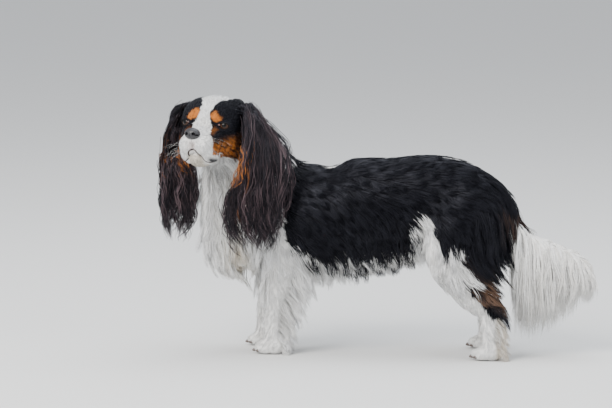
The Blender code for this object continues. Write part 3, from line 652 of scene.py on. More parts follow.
def body_colour(points, palette):
    """The colour of the coat at places on the trunk, neck and legs."""
    edge = 0.004
    rough = ripple(points, 0.012, 1) * edge + ripple(points, 0.035, 2) * edge
    sides = points[:, 1] > 0
    x = points[:, 0] + rough - 0.012 * sides * blend(0.1, -0.05, points[:, 0])
    z = points[:, 2] + ripple(points, 0.014, 3) * edge + 0.012 * sides * ripple(points, 0.12, 9)
    black = in_outline(x, z, SADDLE)
    inner = (points[:, 2] < 0.15) & (np.abs(points[:, 1]) < 0.038) & (points[:, 0] > 0.12)
    crest = (np.abs(points[:, 0] + 0.028) < 0.011) & (np.abs(points[:, 1]) < 0.005)
    spot = ((points[:, 0] - 0.178) / 0.006) ** 2 + (points[:, 1] / 0.006) ** 2 < 1
    top = points[:, 2] > 0.28
    black &= ~inner & ~((crest | spot) & top)
    out = np.where(black[:, None], palette["black"], palette["white"])
    front = points[:, 0], points[:, 2]
    stain = patch_at(*front, -0.185, 0.150, 0.02, 0.04)
    stain += 0.8 * patch_at(*front, -0.19, 0.25, 0.03, 0.03)
    stain *= np.clip(0.5 + 0.5 * ripple(points, 0.02, 5), 0, 1)
    out = np.where(black[:, None], out, mix(out, palette["cream"], np.clip(stain, 0, 0.75)))
    breech = blend(0.238, 0.250, points[:, 0]) * blend(0.150, 0.125, points[:, 2])
    breech *= blend(0.080, 0.095, points[:, 2])
    out = np.where(black[:, None], mix(out, palette["brown"], breech * 0.8), out)
    hock = blend(0.244, 0.252, points[:, 0]) * blend(0.075, 0.062, points[:, 2])
    return mix(out, palette["cream"], hock * 0.55 * ~black)


def breech_colour(points, palette):
    """Black hair behind the thighs, with sun-browned strands low down."""
    out = body_colour(points, palette)
    dark = out.sum(1) < 0.4
    brown = blend(0.158, 0.138, points[:, 2]) * blend(0.208, 0.225, points[:, 0])
    brown *= blend(0.083, 0.100, points[:, 2])
    rump = blend(0.248, 0.262, points[:, 0]) * blend(0.20, 0.215, points[:, 2])
    brown = np.maximum(brown, 0.25 * rump)
    brown *= np.clip(0.6 + 0.7 * ripple(points, 0.006, 41), 0, 1)
    out = np.where(dark[:, None], mix(palette["black"], palette["brown"], brown), out)
    behind = (points[:, 0] > 0.232) & (points[:, 2] > 0.10)
    return np.where((behind & ~dark)[:, None], mix(palette["black"], palette["brown"], brown), out)


def darken_lids(points, colours, palette, side):
    """Dark skin and hair close round an eye's opening."""
    out, across, up = (np.array(v) for v in lid_axes(side))
    d = points - np.array(eye_seat(side))
    ring_at = (d @ across / 0.0140) ** 2 + ((d @ up + EYE_LOW) / 0.0085) ** 2
    share = blend(1.2, 0.8, ring_at) * (d @ out > 0)
    return mix(colours, palette["black"] * 1.6, share)


def head_colour(points, palette):
    """The colour of the coat at places on the head and jaw."""
    local = to_head(points)
    wobble = ripple(points, 0.008, 11) * 0.0014
    f, s, u = local[:, 0], local[:, 1] + wobble, local[:, 2] + ripple(points, 0.01, 12) * 0.0014
    rise = np.degrees(np.arctan2(u, f))
    steps = (-30, 0, 23, 38, 65, 90, 120, 160)
    half = np.interp(rise, steps, (0.020, 0.0150, 0.0098, 0.0122, 0.0220, 0.0270, 0.0160, 0.004))
    middle = np.interp(rise, (0, 25, 65, 120), (0.0, 0.0032, 0.005, 0.002))
    blaze = (np.abs(s - middle) < half) & (u > -0.012)
    muzzle_half = np.interp(-u, (0.006, 0.012, 0.030, 0.060), (0.016, 0.019, 0.0255, 0.031))
    muzzle = (u <= -0.006) & (f > 0.028) & (np.abs(s) < muzzle_half)
    throat = (u < -0.052) & (np.abs(s) < 0.034)
    tips = f > 0.062
    white = blaze | muzzle | throat | tips
    out = np.where(white[:, None], palette["white"], palette["black"])
    near = s > 0
    aside, above = np.abs(s) - np.where(near, 0.0225, 0.0185), u - np.where(near, 0.0108, 0.0130)
    brow = ((aside + 0.3 * above) / 0.0088) ** 2 + ((above + 0.35 * aside) / 0.0066) ** 2
    brow = blend(1.5, 0.6, brow + 0.5 * ripple(points, 0.006, 14)) * (f > 0.02) * ~white
    cheek = blend(-0.012, -0.032, u + 0.25 * (f - 0.03)) * blend(-0.012, 0.004, f)
    cheek *= blend(0.054, 0.046, np.abs(s)) * ~white
    cheek *= np.clip(0.72 + 0.55 * ripple(points, 0.0035, 15), 0, 1)
    cheek *= 1 - 0.85 * patch_at(np.abs(s), u, 0.036, -0.019, 0.011, 0.010)
    tear = blend(0.016, 0.021, np.abs(s)) * blend(0.030, 0.026, np.abs(s))
    tear *= np.exp(-((u + 0.011) / 0.005) ** 2) * ~white * 0.28
    out = mix(out, palette["tan"], np.clip(brow + 0.85 * cheek + tear, 0, 1))
    # Painted shade: the chin under the flews greyed towards a darkened cream
    chin = blend(-0.048, -0.056, u) * blend(0.016, 0.010, np.abs(s)) * (f > 0.03)
    out = mix(out, palette["cream"] * 0.8, 0.6 * chin)
    pink = patch_at(np.abs(s), u, 0.0, -0.037, 0.006, 0.007) * (f > 0.06)
    out = mix(out, palette["pink"] * 1.4, 0.35 * pink)
    corner = patch_at(np.abs(s), u, 0.0265, -0.0605, 0.005, 0.0045) * (f > 0.02)
    out = mix(out, palette["black"] * 2, np.clip(1.3 * corner, 0, 0.95))
    for side in (1, -1):
        out = darken_lids(points, out, palette, side)
    return out


def vary(colours, rng, spread):
    """Small differences of lightness from hair to hair."""
    return np.clip(colours * (1 + spread * rng.normal(size=(len(colours), 1))), 0.001, 1)


def shaded_root_and_lit_tip(colours, rng, spread, root=0.72, tip=1.12):
    """Colours at each hair's root and tip: painted shade darkens the root, deep in the coat, and
    painted light brightens the tip.
    """
    own = vary(colours, rng, spread)
    return np.stack((own * root, np.clip(own * tip, 0, 1)), axis=1)


def paint_skin(thing, parts, colours):
    """The coat's markings on the skin, with painted shade: a little darker than the hair over it.
    """
    co = vertex_places(thing.data)
    paint = np.empty((len(co), 3))
    for number, colour in enumerate(colours):
        mine = parts == number
        paint[mine] = colour(co[mine]) * SKIN_PAINTED_SHADE
    store_colours(thing.data, paint)


# Materials


def new_material(name):
    """A fresh material and its shader, with any old one of that name removed."""
    if name in bpy.data.materials:
        bpy.data.materials.remove(bpy.data.materials[name])
    made = bpy.data.materials.new(name)
    made.use_nodes = True
    return made, made.node_tree.nodes["Principled BSDF"]


def add_node(made, kind, **settings):
    """A node in a material, with its inputs or its own settings filled in."""
    node = made.node_tree.nodes.new(kind)
    for key, value in settings.items():
        if key in node.inputs:
            node.inputs[key].default_value = value
        else:
            setattr(node, key, value)
    return node


def join_nodes(made, source, target):
    """A link between two nodes."""
    made.node_tree.links.new(source, target)


def bump(made, shader, height, strength, distance):
    """Raise the surface a little by a pattern."""
    node = add_node(made, "ShaderNodeBump", Strength=strength, Distance=distance)
    join_nodes(made, height, node.inputs["Height"])
    join_nodes(made, node.outputs["Normal"], shader.inputs["Normal"])


def hair_material(name, roughness, gloss=0.25):
    """Silky hair: the markings' own colour, mottled along each hair."""
    made, shader = new_material(name)
    tint = add_node(made, "ShaderNodeAttribute", attribute_name="coat")
    place = add_node(made, "ShaderNodeTexCoord")
    noise = add_node(made, "ShaderNodeTexNoise", Scale=420.0, Detail=2.0)
    join_nodes(made, place.outputs["Object"], noise.inputs["Vector"])
    ramp = add_node(made, "ShaderNodeMapRange")
    ramp.inputs["To Min"].default_value = 0.72
    ramp.inputs["To Max"].default_value = 1.2
    join_nodes(made, noise.outputs["Fac"], ramp.inputs["Value"])
    scaled = add_node(made, "ShaderNodeVectorMath", operation="SCALE")
    join_nodes(made, tint.outputs["Color"], scaled.inputs[0])
    join_nodes(made, ramp.outputs["Result"], scaled.inputs["Scale"])
    join_nodes(made, scaled.outputs["Vector"], shader.inputs["Base Color"])
    shader.inputs["Roughness"].default_value = roughness
    shader.inputs["Specular IOR Level"].default_value = gloss
    shader.inputs["Specular Tint"].default_value = (0.82, 0.84, 1.0, 1.0)
    return made


def skin_material():
    """The short under-coat on the skin, in the markings' colours, with a fine nap."""
    made, shader = new_material("short_coat")
    tint = add_node(made, "ShaderNodeAttribute", attribute_name="coat")
    place = add_node(made, "ShaderNodeTexCoord")
    nap = add_node(made, "ShaderNodeTexNoise", Scale=900.0, Detail=3.0)
    stretch = add_node(made, "ShaderNodeMapping")
    stretch.inputs["Scale"].default_value = (0.35, 1.0, 0.5)
    join_nodes(made, place.outputs["Object"], stretch.inputs["Vector"])
    join_nodes(made, stretch.outputs["Vector"], nap.inputs["Vector"])
    join_nodes(made, tint.outputs["Color"], shader.inputs["Base Color"])
    bump(made, shader, nap.outputs["Fac"], 0.6, 0.0006)
    shader.inputs["Roughness"].default_value = 0.75
    shader.inputs["Specular IOR Level"].default_value = 0.08
    return made


def wet_material(name, colour, roughness, coat, gloss=0.5):
    """A smooth damp surface of one colour."""
    made, shader = new_material(name)
    shader.inputs["Specular IOR Level"].default_value = gloss
    shader.inputs["Base Color"].default_value = (*colour, 1)
    shader.inputs["Roughness"].default_value = roughness
    shader.inputs["Coat Weight"].default_value = coat
    shader.inputs["Coat Roughness"].default_value = 0.05
    return made


def nose_material(colour):
    """Damp pebbled leather."""
    made = wet_material("nose_leather", colour, 0.42, 0.2)
    shader = made.node_tree.nodes["Principled BSDF"]
    place = add_node(made, "ShaderNodeTexCoord")
    cells = add_node(made, "ShaderNodeTexVoronoi", Scale=1100.0)
    join_nodes(made, place.outputs["Object"], cells.inputs["Vector"])
    bump(made, shader, cells.outputs["Distance"], 0.55, 0.0005)
    tones = add_node(made, "ShaderNodeValToRGB")
    tones.color_ramp.elements[0].color = (*[c * 0.55 for c in colour], 1)
    tones.color_ramp.elements[1].color = (*[c * 1.7 for c in colour], 1)
    join_nodes(made, cells.outputs["Distance"], tones.inputs["Fac"])
    join_nodes(made, tones.outputs["Color"], shader.inputs["Base Color"])
    return made


def eye_material(settings):
    """Wet eye: a black pupil, a dark brown iris with fine spokes, and a dark rim."""
    made, shader = new_material("eye_wet")
    rings = add_node(made, "ShaderNodeAttribute", attribute_name="iris")
    place = add_node(made, "ShaderNodeTexCoord")
    noise = add_node(made, "ShaderNodeTexNoise", Scale=900.0, Detail=2.0)
    join_nodes(made, place.outputs["Object"], noise.inputs["Vector"])
    spoke = add_node(made, "ShaderNodeMath", operation="MULTIPLY_ADD")
    spoke.inputs[1].default_value = 0.06
    join_nodes(made, noise.outputs["Fac"], spoke.inputs[0])
    join_nodes(made, rings.outputs["Fac"], spoke.inputs[2])
    tones = add_node(made, "ShaderNodeValToRGB")
    ramp = tones.color_ramp
    ramp.elements[0].position, ramp.elements[0].color = 0.30, (0.002, 0.002, 0.002, 1)
    ramp.elements[1].position, ramp.elements[1].color = 0.36, (*settings.iris, 1)
    for place_at, colour in ((0.60, settings.iris), (0.70, (0.006, 0.004, 0.003)),
                             (0.85, (0.006, 0.004, 0.003)), (1.0, settings.eye_white)):
        ramp.elements.new(place_at).color = (*colour, 1)
    join_nodes(made, spoke.outputs["Value"], tones.inputs["Fac"])
    join_nodes(made, tones.outputs["Color"], shader.inputs["Base Color"])
    shader.inputs["Roughness"].default_value = 0.10
    shader.inputs["Specular IOR Level"].default_value = 0.12
    shader.inputs["Coat Weight"].default_value = 0.4
    shader.inputs["Coat Roughness"].default_value = 0.02
    shader.inputs["Coat IOR"].default_value = 1.36
    return made


# Settings


class SpanielColours(bpy.types.PropertyGroup):
    """Colours of the coat, skin and eyes"""

    black: FloatVectorProperty(
        name="Black", description="Coat of the saddle and the head's sides",
        subtype="COLOR", size=3, min=0, max=1, default=(0.0052, 0.0052, 0.0075),
    )
    white: FloatVectorProperty(
        name="White", description="Coat of the blaze, chest, legs and tail",
        subtype="COLOR", size=3, min=0, max=1, default=(0.95, 0.94, 0.915),
    )
    tan: FloatVectorProperty(
        name="Tan", description="Brow spots, cheeks and ear fronts",
        subtype="COLOR", size=3, min=0, max=1, default=(0.60, 0.20, 0.036),
    )
    # Cream is also used, darkened, as painted shade on the chin
    cream: FloatVectorProperty(
        name="Cream", description="Stains on the chest and the feathering",
        subtype="COLOR", size=3, min=0, max=1, default=(0.62, 0.50, 0.33),
    )
    brown: FloatVectorProperty(
        name="Brown", description="Sun-browned hair behind the thighs",
        subtype="COLOR", size=3, min=0, max=1, default=(0.21, 0.120, 0.075),
    )
    ear_dark: FloatVectorProperty(
        name="Ear dark", description="Deep hair of the ears",
        subtype="COLOR", size=3, min=0, max=1, default=(0.0062, 0.0046, 0.0052),
    )
    # Lighter mauve-brown ear hair that also carries painted highlight, as glints on some locks
    ear_brown_and_highlight: FloatVectorProperty(
        name="Ear light", description="Lighter locks of the ears",
        subtype="COLOR", size=3, min=0, max=1, default=(0.130, 0.088, 0.095),
    )
    pink: FloatVectorProperty(
        name="Pink", description="Bare skin of the lips and inner eye corners",
        subtype="COLOR", size=3, min=0, max=1, default=(0.42, 0.20, 0.17),
    )
    iris: FloatVectorProperty(
        name="Iris", description="Ring round the pupil",
        subtype="COLOR", size=3, min=0, max=1, default=(0.030, 0.011, 0.005),
    )
    eye_white: FloatVectorProperty(
        name="Eye white", description="Corner of the eye",
        subtype="COLOR", size=3, min=0, max=1, default=(0.40, 0.30, 0.26),
    )
    nose: FloatVectorProperty(
        name="Nose", description="Nose leather",
        subtype="COLOR", size=3, min=0, max=1, default=(0.013, 0.0125, 0.015),
    )


class SpanielCoat(bpy.types.PropertyGroup):
    """Sizes of the coat"""

    back: FloatProperty(
        name="Back", description="Length of hair on the back and flanks",
        subtype="DISTANCE", unit="LENGTH", default=0.044, min=0.005, max=0.06,
    )
    chest: FloatProperty(
        name="Chest", description="Length of hair on the breast",
        subtype="DISTANCE", unit="LENGTH", default=0.056, min=0.01, max=0.09,
    )
    feather: FloatProperty(
        name="Feathering", description="Length of hair behind the legs",
        subtype="DISTANCE", unit="LENGTH", default=0.036, min=0.01, max=0.06,
    )
    face: FloatProperty(
        name="Face", description="Length of hair on the face",
        subtype="DISTANCE", unit="LENGTH", default=0.0085, min=0.002, max=0.02,
    )
    fullness: FloatProperty(
        name="Fullness", description="Share of the full number of hairs",
        subtype="FACTOR", default=1.0, min=0.05, max=1.0,
    )
    seed: IntProperty(name="Seed", description="Start of the coat's scatter", default=5, min=0)


class SpanielStage(bpy.types.PropertyGroup):
    """The plain studio"""

    distance: FloatProperty(
        name="Camera distance", description="From the dog to the camera",
        subtype="DISTANCE", unit="LENGTH", default=6.0, min=1.0, max=20.0,
    )
    azimuth: FloatProperty(
        name="Azimuth", description="Camera's turn round the dog from its left side",
        subtype="ANGLE", unit="ROTATION", default=math.radians(8),
    )
    elevation: FloatProperty(
        name="Elevation", description="Camera's height as an angle",
        subtype="ANGLE", unit="ROTATION", default=math.radians(7),
    )
    field: FloatProperty(
        name="Field width", description="Width of the view at the dog",
        subtype="DISTANCE", unit="LENGTH", default=1.01, min=0.3, max=3.0,
    )
    floor: FloatVectorProperty(
        name="Floor", description="Pale floor and backdrop",
        subtype="COLOR", size=3, min=0, max=1, default=(0.72, 0.72, 0.71),
    )


def hairs(count):
    share = bpy.context.scene.spaniel_coat.fullness * 1.0
    return max(int(count * share), 40)


# Skin


def mirror_rows(rows, step):
    """A left limb's rows for the right one, moved by a step."""
    return [(x + step, -y, *rest) for x, y, *rest in rows]


def rest_on_floor(thing):
    """Press flat what would sink into the floor."""
    for v in thing.data.vertices:
        v.co.z = max(v.co.z, FLOOR_AIR)


def paw_places():
    """The four paws' middles on the floor."""
    for (x, y), step in ((FORE_PAW, STEP_FORE), (HIND_PAW, STEP_HIND)):
        yield x, y
        yield x + step, -y


def toes(x, y):
    """The middles of one paw's four toes."""
    return [(x - ahead, y + side * aside) for ahead, aside in TOES for side in (-1, 1)]


def paw(x, y):
    """A pad and four toes, on the floor."""
    pieces = [ball("paw", (x + 0.004, y, 0.0135), (0.0195, 0.0170, 0.0150))]
    for toe in toes(x, y):
        pieces.append(ball("toe", (*toe, 0.0098), (0.0122, 0.0058, 0.0094)))
    return pieces


def body_pieces():
    """Trunk, neck, legs and tail, each slimmed by its coat's depth."""
    y_axis, z_axis = Vector((0, 1, 0)), Vector((0, 0, 1))
    rings = []
    depth = COAT_DEPTH["trunk"]
    for x, top, bottom, half in smooth_rows(TRUNK, 4):
        centre = Vector((x, 0, (top + bottom) / 2 + LIFT))
        tall = (top - bottom) / 2 - depth
        rings.append(ring(centre, y_axis, z_axis, half - depth, tall, 32, 0.9))
    pieces = [
        skin_rings("trunk", rings), tube("neck", NECK, COAT_DEPTH["neck"]),
        slices("breast", BREAST),
    ]
    for rows, step in ((FORELEG, STEP_FORE), (THIGH, STEP_HIND), (REAR_PASTERN, STEP_HIND)):
        for leg in (rows, mirror_rows(rows, step)):
            pieces.append(tube("leg", leg, COAT_DEPTH["leg"]))
    for x, y in paw_places():
        pieces += paw(x, y)
    bone = [(x, 0, z, radius, radius) for x, z, radius, low in TAIL]
    pieces.append(tube("bone", bone, COAT_DEPTH["bone"]))
    return pieces


def head_pieces():
    """Skull, temples, brows, cheeks, lids, bridge, muzzle, upper lips and flews."""
    lid = EYE_RADIUS + LID_THICK
    pieces = [ball("lid", eye_seat(side), (lid, lid, lid), AXES) for side in (1, -1)]
    for (f, s, u), radii in HEAD_BALLS:
        for side in (1, -1) if s else (1,):
            pieces.append(ball("head", on_head(f, side * s, u), radii, AXES))
    return pieces


def carve_mouth(head):
    """The notch between the flews where the chin shows, and the cleft of the upper lip."""
    cut(head, ball("cutter", on_head(0.083, 0, -0.0612), (0.0210, 0.0125, 0.0175), AXES))
    cut(head, ball("cutter", on_head(0.086, 0, -0.0360), (0.0085, 0.0007, 0.0110), AXES))


def jaw_pieces():
    """Lower jaw and chin."""
    return [ball("jaw", on_head(*place), radii, AXES) for place, radii in JAW_BALLS]


def lid_axes(side):
    """Outward, sideways and up for one eye's opening."""
    tilt = Matrix.Rotation(side * math.radians(-8), 3, AXES[0])
    swing = Matrix.Rotation(side * math.radians(18), 3, AXES[2])
    return [swing @ (tilt @ axis) for axis in AXES]


def lid_curve(side, radius):
    """The almond edge of the lids, on a ball round the eye."""
    out, across, up = lid_axes(side)
    half_wide, half_high = LID_OPENING
    points = []
    for i in range(LID_STEPS):
        turn = math.tau * i / LID_STEPS
        a = half_wide * math.cos(turn)
        b = half_high * math.sin(turn) * abs(math.sin(turn)) ** 0.15 - EYE_LOW
        b += 0.0007 * math.cos(turn) * side
        way = (out * EYE_RADIUS + across * a + up * b).normalized()
        points.append(eye_seat(side) + way * radius)
    return points


def almond_cutter(side):
    """A closed wedge from inside the eye out through the lids' opening."""
    inner, outer = lid_curve(side, 0.004), lid_curve(side, 0.030)
    return skin_rings("cutter", [inner, outer])


def ear_line(rows, side):
    """An ear's rows from inside the skull, over its fold and down to its tip."""
    plan = math.degrees(HEAD_TURN)
    root = [(*on_head(f, side * s, u), half, thick, plan) for f, s, u, half, thick in EAR_ROOT]
    return smooth_rows([*root, *rows], 8)


def ear_frames(line, t):
    """Centres, widths' directions, flat directions and half sizes at shares of an ear."""
    place = np.clip(t, 0, 1) * (len(line) - 1)
    k = np.minimum(place.astype(int), len(line) - 2)
    row = line[k] + (line[k + 1] - line[k]) * (place - k)[:, None]
    along = line[k + 1, :3] - line[k, :3]
    turn = np.radians(row[:, 5])
    wide = np.stack((np.cos(turn), np.sin(turn), np.zeros_like(turn)), axis=1)
    flat = unit(np.cross(wide, along))
    wide = unit(np.cross(along, flat))
    return row[:, :3], wide, flat, row[:, 3], row[:, 4]


def ear_skin(name, line):
    """The ear's leather, from the skull to where the hair hangs free."""
    shares = np.linspace(0, EAR_LEATHER, 28)
    centre, wide, flat, half, thick = ear_frames(line, shares)
    rings = []
    for k, t in enumerate(shares):
        slim = math.sqrt(max(1 - (t / (EAR_LEATHER * 1.04)) ** 6, 0.04))
        sizes = half[k] * 0.74 * slim, thick[k] * 0.36
        rings.append(ring(Vector(centre[k]), Vector(wide[k]), Vector(flat[k]), *sizes))
    return fuse(name, [skin_rings(name, rings)], 0.0022, 2)


def nearest_uv(skin, points):
    """Where points fall on the unwrap of the skin."""
    found = [skin["tree"].find_nearest(point)[2] for point in points.tolist()]
    return skin["whole_uv"][found].mean(1)


def join_skins(skins):
    """One closed skin out of overlapping ones, and the number of the part at each vertex."""
    trees = [BVHTree.FromObject(each, bpy.context.evaluated_depsgraph_get()) for each in skins]
    whole = skins[0]
    for other in skins[1:]:
        apply_modifier(whole, "BOOLEAN", object=other, operation="UNION", solver="MANIFOLD")
        remove(other)
    places = [v.co for v in whole.data.vertices]
    gaps = [[tree.find_nearest(place)[3] for place in places] for tree in trees]
    parts = np.argmin(np.array(gaps), axis=0).astype(np.int32)
    layer = whole.data.attributes.new("part", "INT", "POINT")
    layer.data.foreach_set("value", parts)
    return whole, parts


class SPANIEL_OT_skin(bpy.types.Operator):
    """Build the skin of the body, head and ears, with the markings on it"""

    bl_idname = "spaniel.skin"
    bl_label = "Skin"

    def execute(self, context):
        palette = colours_of(context.scene.spaniel_colours)
        body = fuse("skin", body_pieces(), 0.0040, 4)
        rest_on_floor(body)
        head = fuse("head_skin", head_pieces(), 0.0019, 3)
        for side in (1, -1):
            cut(head, almond_cutter(side))
        carve_mouth(head)
        jaw = fuse("jaw_skin", jaw_pieces(), 0.0020, 4)
        ears = [
            ear_skin("ear_skin", ear_line(rows, side))
            for rows, side in ((EAR_LEFT, 1), (EAR_RIGHT, -1))
        ]
        skin, parts = join_skins([body, head, jaw, *ears])

        def on_body(p):
            return body_colour(p, palette)

        def on_face(p):
            return head_colour(p, palette)

        def on_ear(p):
            return np.tile(palette["ear_dark"], (len(p), 1))

        paint_skin(skin, parts, (on_body, on_face, on_face, on_ear, on_ear))
        unwrap(skin)
        flesh = ["torso", "neck", "tail", "head", "jaw"]
        for side in ("left", "right"):
            flesh += [f"{node}_{side}" for node in ("foreleg", "thigh", "rear_pastern", "ear")]
        finish_piece(skin, skin_material(), flesh)
        return {"FINISHED"}


# Face details


def rope(name, points, sizes, closed=False):
    """A soft rounded rim along a line of points, with its radius at each."""
    around = 10
    rings = []
    count = len(points)
    for k, point in enumerate(points):
        if closed:
            along = points[(k + 1) % count] - points[k - 1]
        else:
            along = points[min(k + 1, count - 1)] - points[max(k - 1, 0)]
        side = along.cross(AXES[0]).normalized()
        up = side.cross(along).normalized()
        rings.append(ring(point, side, up, sizes[k], sizes[k], around))
    if not closed:
        return skin_rings(name, rings)
    faces = []
    for row in range(count):
        low, high = row * around, (row + 1) % count * around
        for i in range(around):
            j = (i + 1) % around
            faces.append((low + i, low + j, high + j, high + i))
    return add_mesh(name, [p for each in rings for p in each], faces)


class SPANIEL_OT_eyes(bpy.types.Operator):
    """Build the eyes, their dark lids and the pink inner corners"""

    bl_idname = "spaniel.eyes"
    bl_label = "Eyes"

    def execute(self, context):
        colours = context.scene.spaniel_colours
        wet = eye_material(colours)
        rim = wet_material("lid_rim", (0.004, 0.0035, 0.0035), 0.6, 0.0, 0.12)
        rise = [max(math.sin(math.tau * i / LID_STEPS), 0) for i in range(LID_STEPS)]
        rims = [0.0007 + 0.0005 * part for part in rise]
        haw = wet_material("eye_corner", tuple(c * 0.28 for c in colours.pink), 0.3, 0.5)
        for side, name in ((1, "left"), (-1, "right")):
            out, across, up = lid_axes(side)
            eye = ball(f"eye_ball_{name}", eye_seat(side), (EYE_RADIUS,) * 3, AXES, 48)
            look = (AXES[0] * 0.93 + AXES[1] * side * 0.30 + AXES[2] * 0.02).normalized()
            local = vertex_places(eye.data) - np.array(eye_seat(side))
            spread = np.arccos(np.clip(unit(local) @ np.array(look), -1, 1))
            local *= (1 + 0.045 * blend(0.62, 0.2, spread))[:, None]
            eye.data.vertices.foreach_set("co", (local + np.array(eye_seat(side))).reshape(-1))
            shade = eye.data.attributes.new("iris", "FLOAT", "POINT")
            shade.data.foreach_set("value", np.clip(spread / 1.05, 0, 1))
            finish_piece(eye, wet, [f"eye_{name}"])
            edge = lid_curve(side, EYE_RADIUS + 0.0008)
            finish_piece(rope(f"lid_{name}", edge, rims, True), rim)
            corner = eye_seat(side) + (out * 0.0100 - across * side * 0.0082 - up * 0.0006)
            axes = (out, across, up)
            nook = ball(f"eye_corner_{name}", corner, (0.0024, 0.0022, 0.0017), axes, 16)
            finish_piece(nook, haw)
        return {"FINISHED"}


class SPANIEL_OT_lips(bpy.types.Operator):
    """Draw the dark edges of the lips, laid on the skin from in front"""

    bl_idname = "spaniel.lips"
    bl_label = "Lips"

    def execute(self, context):
        flesh = wet_material("lip_edge", (0.030, 0.016, 0.015), 0.5, 0.1, 0.3)
        tree = surface("head")["own"]
        half = smooth_rows(LIP_EDGE, 5)
        rows = [(-s, u) for s, u in half[:0:-1]] + [(s, u) for s, u in half]
        points = []
        for s, u in rows:
            spot = tree.ray_cast(on_head(0.12, s, u), -AXES[0])[0]
            if spot is not None:
                points.append(spot - AXES[0] * 0.0003)
        count = len(points)
        swell = [math.sin(math.pi * (k + 1) / (count + 1)) for k in range(count)]
        sizes = [0.0007 + 0.0009 * part for part in swell]
        finish_piece(rope("lip_edges", points, sizes), flesh)
        return {"FINISHED"}


class SPANIEL_OT_nose(bpy.types.Operator):
    """Build the nose leather with its nostrils"""

    bl_idname = "spaniel.nose"
    bl_label = "Nose"

    def execute(self, context):
        colour = tuple(context.scene.spaniel_colours.nose)
        nose = ball("nose_pad", on_head(*NOSE), NOSE_SIZE, AXES, 56)
        for side in (-1, 1):
            hole = on_head(NOSE[0] + 0.0095, side * 0.0060, NOSE[2] - 0.0004)
            slit = on_head(NOSE[0] + 0.0060, side * 0.0108, NOSE[2] - 0.0022)
            cut(nose, ball("cutter", hole, (0.0062, 0.0028, 0.0025), AXES, 24))
            cut(nose, ball("cutter", slit, (0.0052, 0.0040, 0.0012), AXES, 24))
        groove = on_head(NOSE[0] + 0.0125, 0, NOSE[2] - 0.0065)
        cut(nose, ball("cutter", groove, (0.0040, 0.0008, 0.0075), AXES, 24))
        finish_piece(nose, nose_material(colour), ["nose"])
        return {"FINISHED"}


# Coats


def body_lie(points, normals):
    """The way the hair lies on the trunk, neck and legs."""
    x, y, z = points.T
    fall = np.interp(z, (0.15, 0.19, 0.23, 0.27, 0.31), (2.6, 1.5, 0.80, 0.42, 0.12))
    lie = np.stack((np.ones_like(x), np.zeros_like(x), -fall), axis=1)
    neck = blend(-0.060, -0.11, x) * blend(0.17, 0.20, z)
    lie = lie * (1 - neck)[:, None] + np.array((0.42, 0.0, -0.9)) * neck[:, None]
    front = blend(-0.3, -0.75, normals[:, 0]) * blend(-0.11, -0.14, x)
    lie = lie * (1 - front)[:, None] + np.array((-0.10, 0.0, -1.0)) * front[:, None]
    rump = blend(0.205, 0.25, x) * blend(0.16, 0.2, z)
    lie = lie * (1 - rump)[:, None] + np.array((0.35, 0.0, -0.95)) * rump[:, None]
    thigh = blend(0.14, 0.17, x) * blend(0.245, 0.20, z)
    lie = lie * (1 - thigh)[:, None] + np.array((0.45, 0.0, -0.9)) * thigh[:, None]
    leg = blend(0.150, 0.125, z) * blend(-0.055, -0.065, x)
    lie = lie * (1 - leg)[:, None] + np.array((0.10, 0.0, -1.0)) * leg[:, None]
    foot = blend(0.034, 0.018, z)
    lie = lie * (1 - foot)[:, None] + np.array((-0.5, 0.0, -0.6)) * foot[:, None]
    turn = np.radians(15) * ripple(points, 0.055, 21) + np.radians(4) * ripple(points, 0.02, 22)
    lie = unit(lie)
    side = np.cross(normals, lie)
    return lie * np.cos(turn)[:, None] + side * np.sin(turn)[:, None]


def head_lie(points, normals):
    """The way the hair lies on the head: away from the nose, and down on the cheeks."""
    local = to_head(points)
    way = local - np.array((0.088, 0.0, -0.018))
    way[:, 2] -= 0.5 * blend(-0.005, -0.04, local[:, 2]) * np.linalg.norm(way, axis=1)
    way[:, 2] += 0.015 * blend(0.0, 0.03, local[:, 2]) * blend(0.0, 0.04, local[:, 0])
    return unit(way @ HEAD)


def leg_side(points):
    """1 behind a leg and 0 in front of it, for all four."""
    x, y, z = points.T
    step = np.where(y > 0, 1.0, 0.0)
    fore = np.interp(z, (0.02, 0.05, 0.086, 0.122, 0.165), (-0.124, -0.122, -0.117, -0.108, -0.102))
    hind = np.interp(z, (0.02, 0.08, 0.098, 0.128, 0.163), (0.238, 0.236, 0.212, 0.186, 0.168))
    behind = np.where(x < 0.05, x - fore - step * STEP_FORE, x - hind - step * STEP_HIND)
    return blend(0.002, 0.012, behind)


def coat_start(context, step):
    """The scatter and the colours for one coat."""
    seed = context.scene.spaniel_coat.seed + step
    return np.random.default_rng(seed), colours_of(context.scene.spaniel_colours)


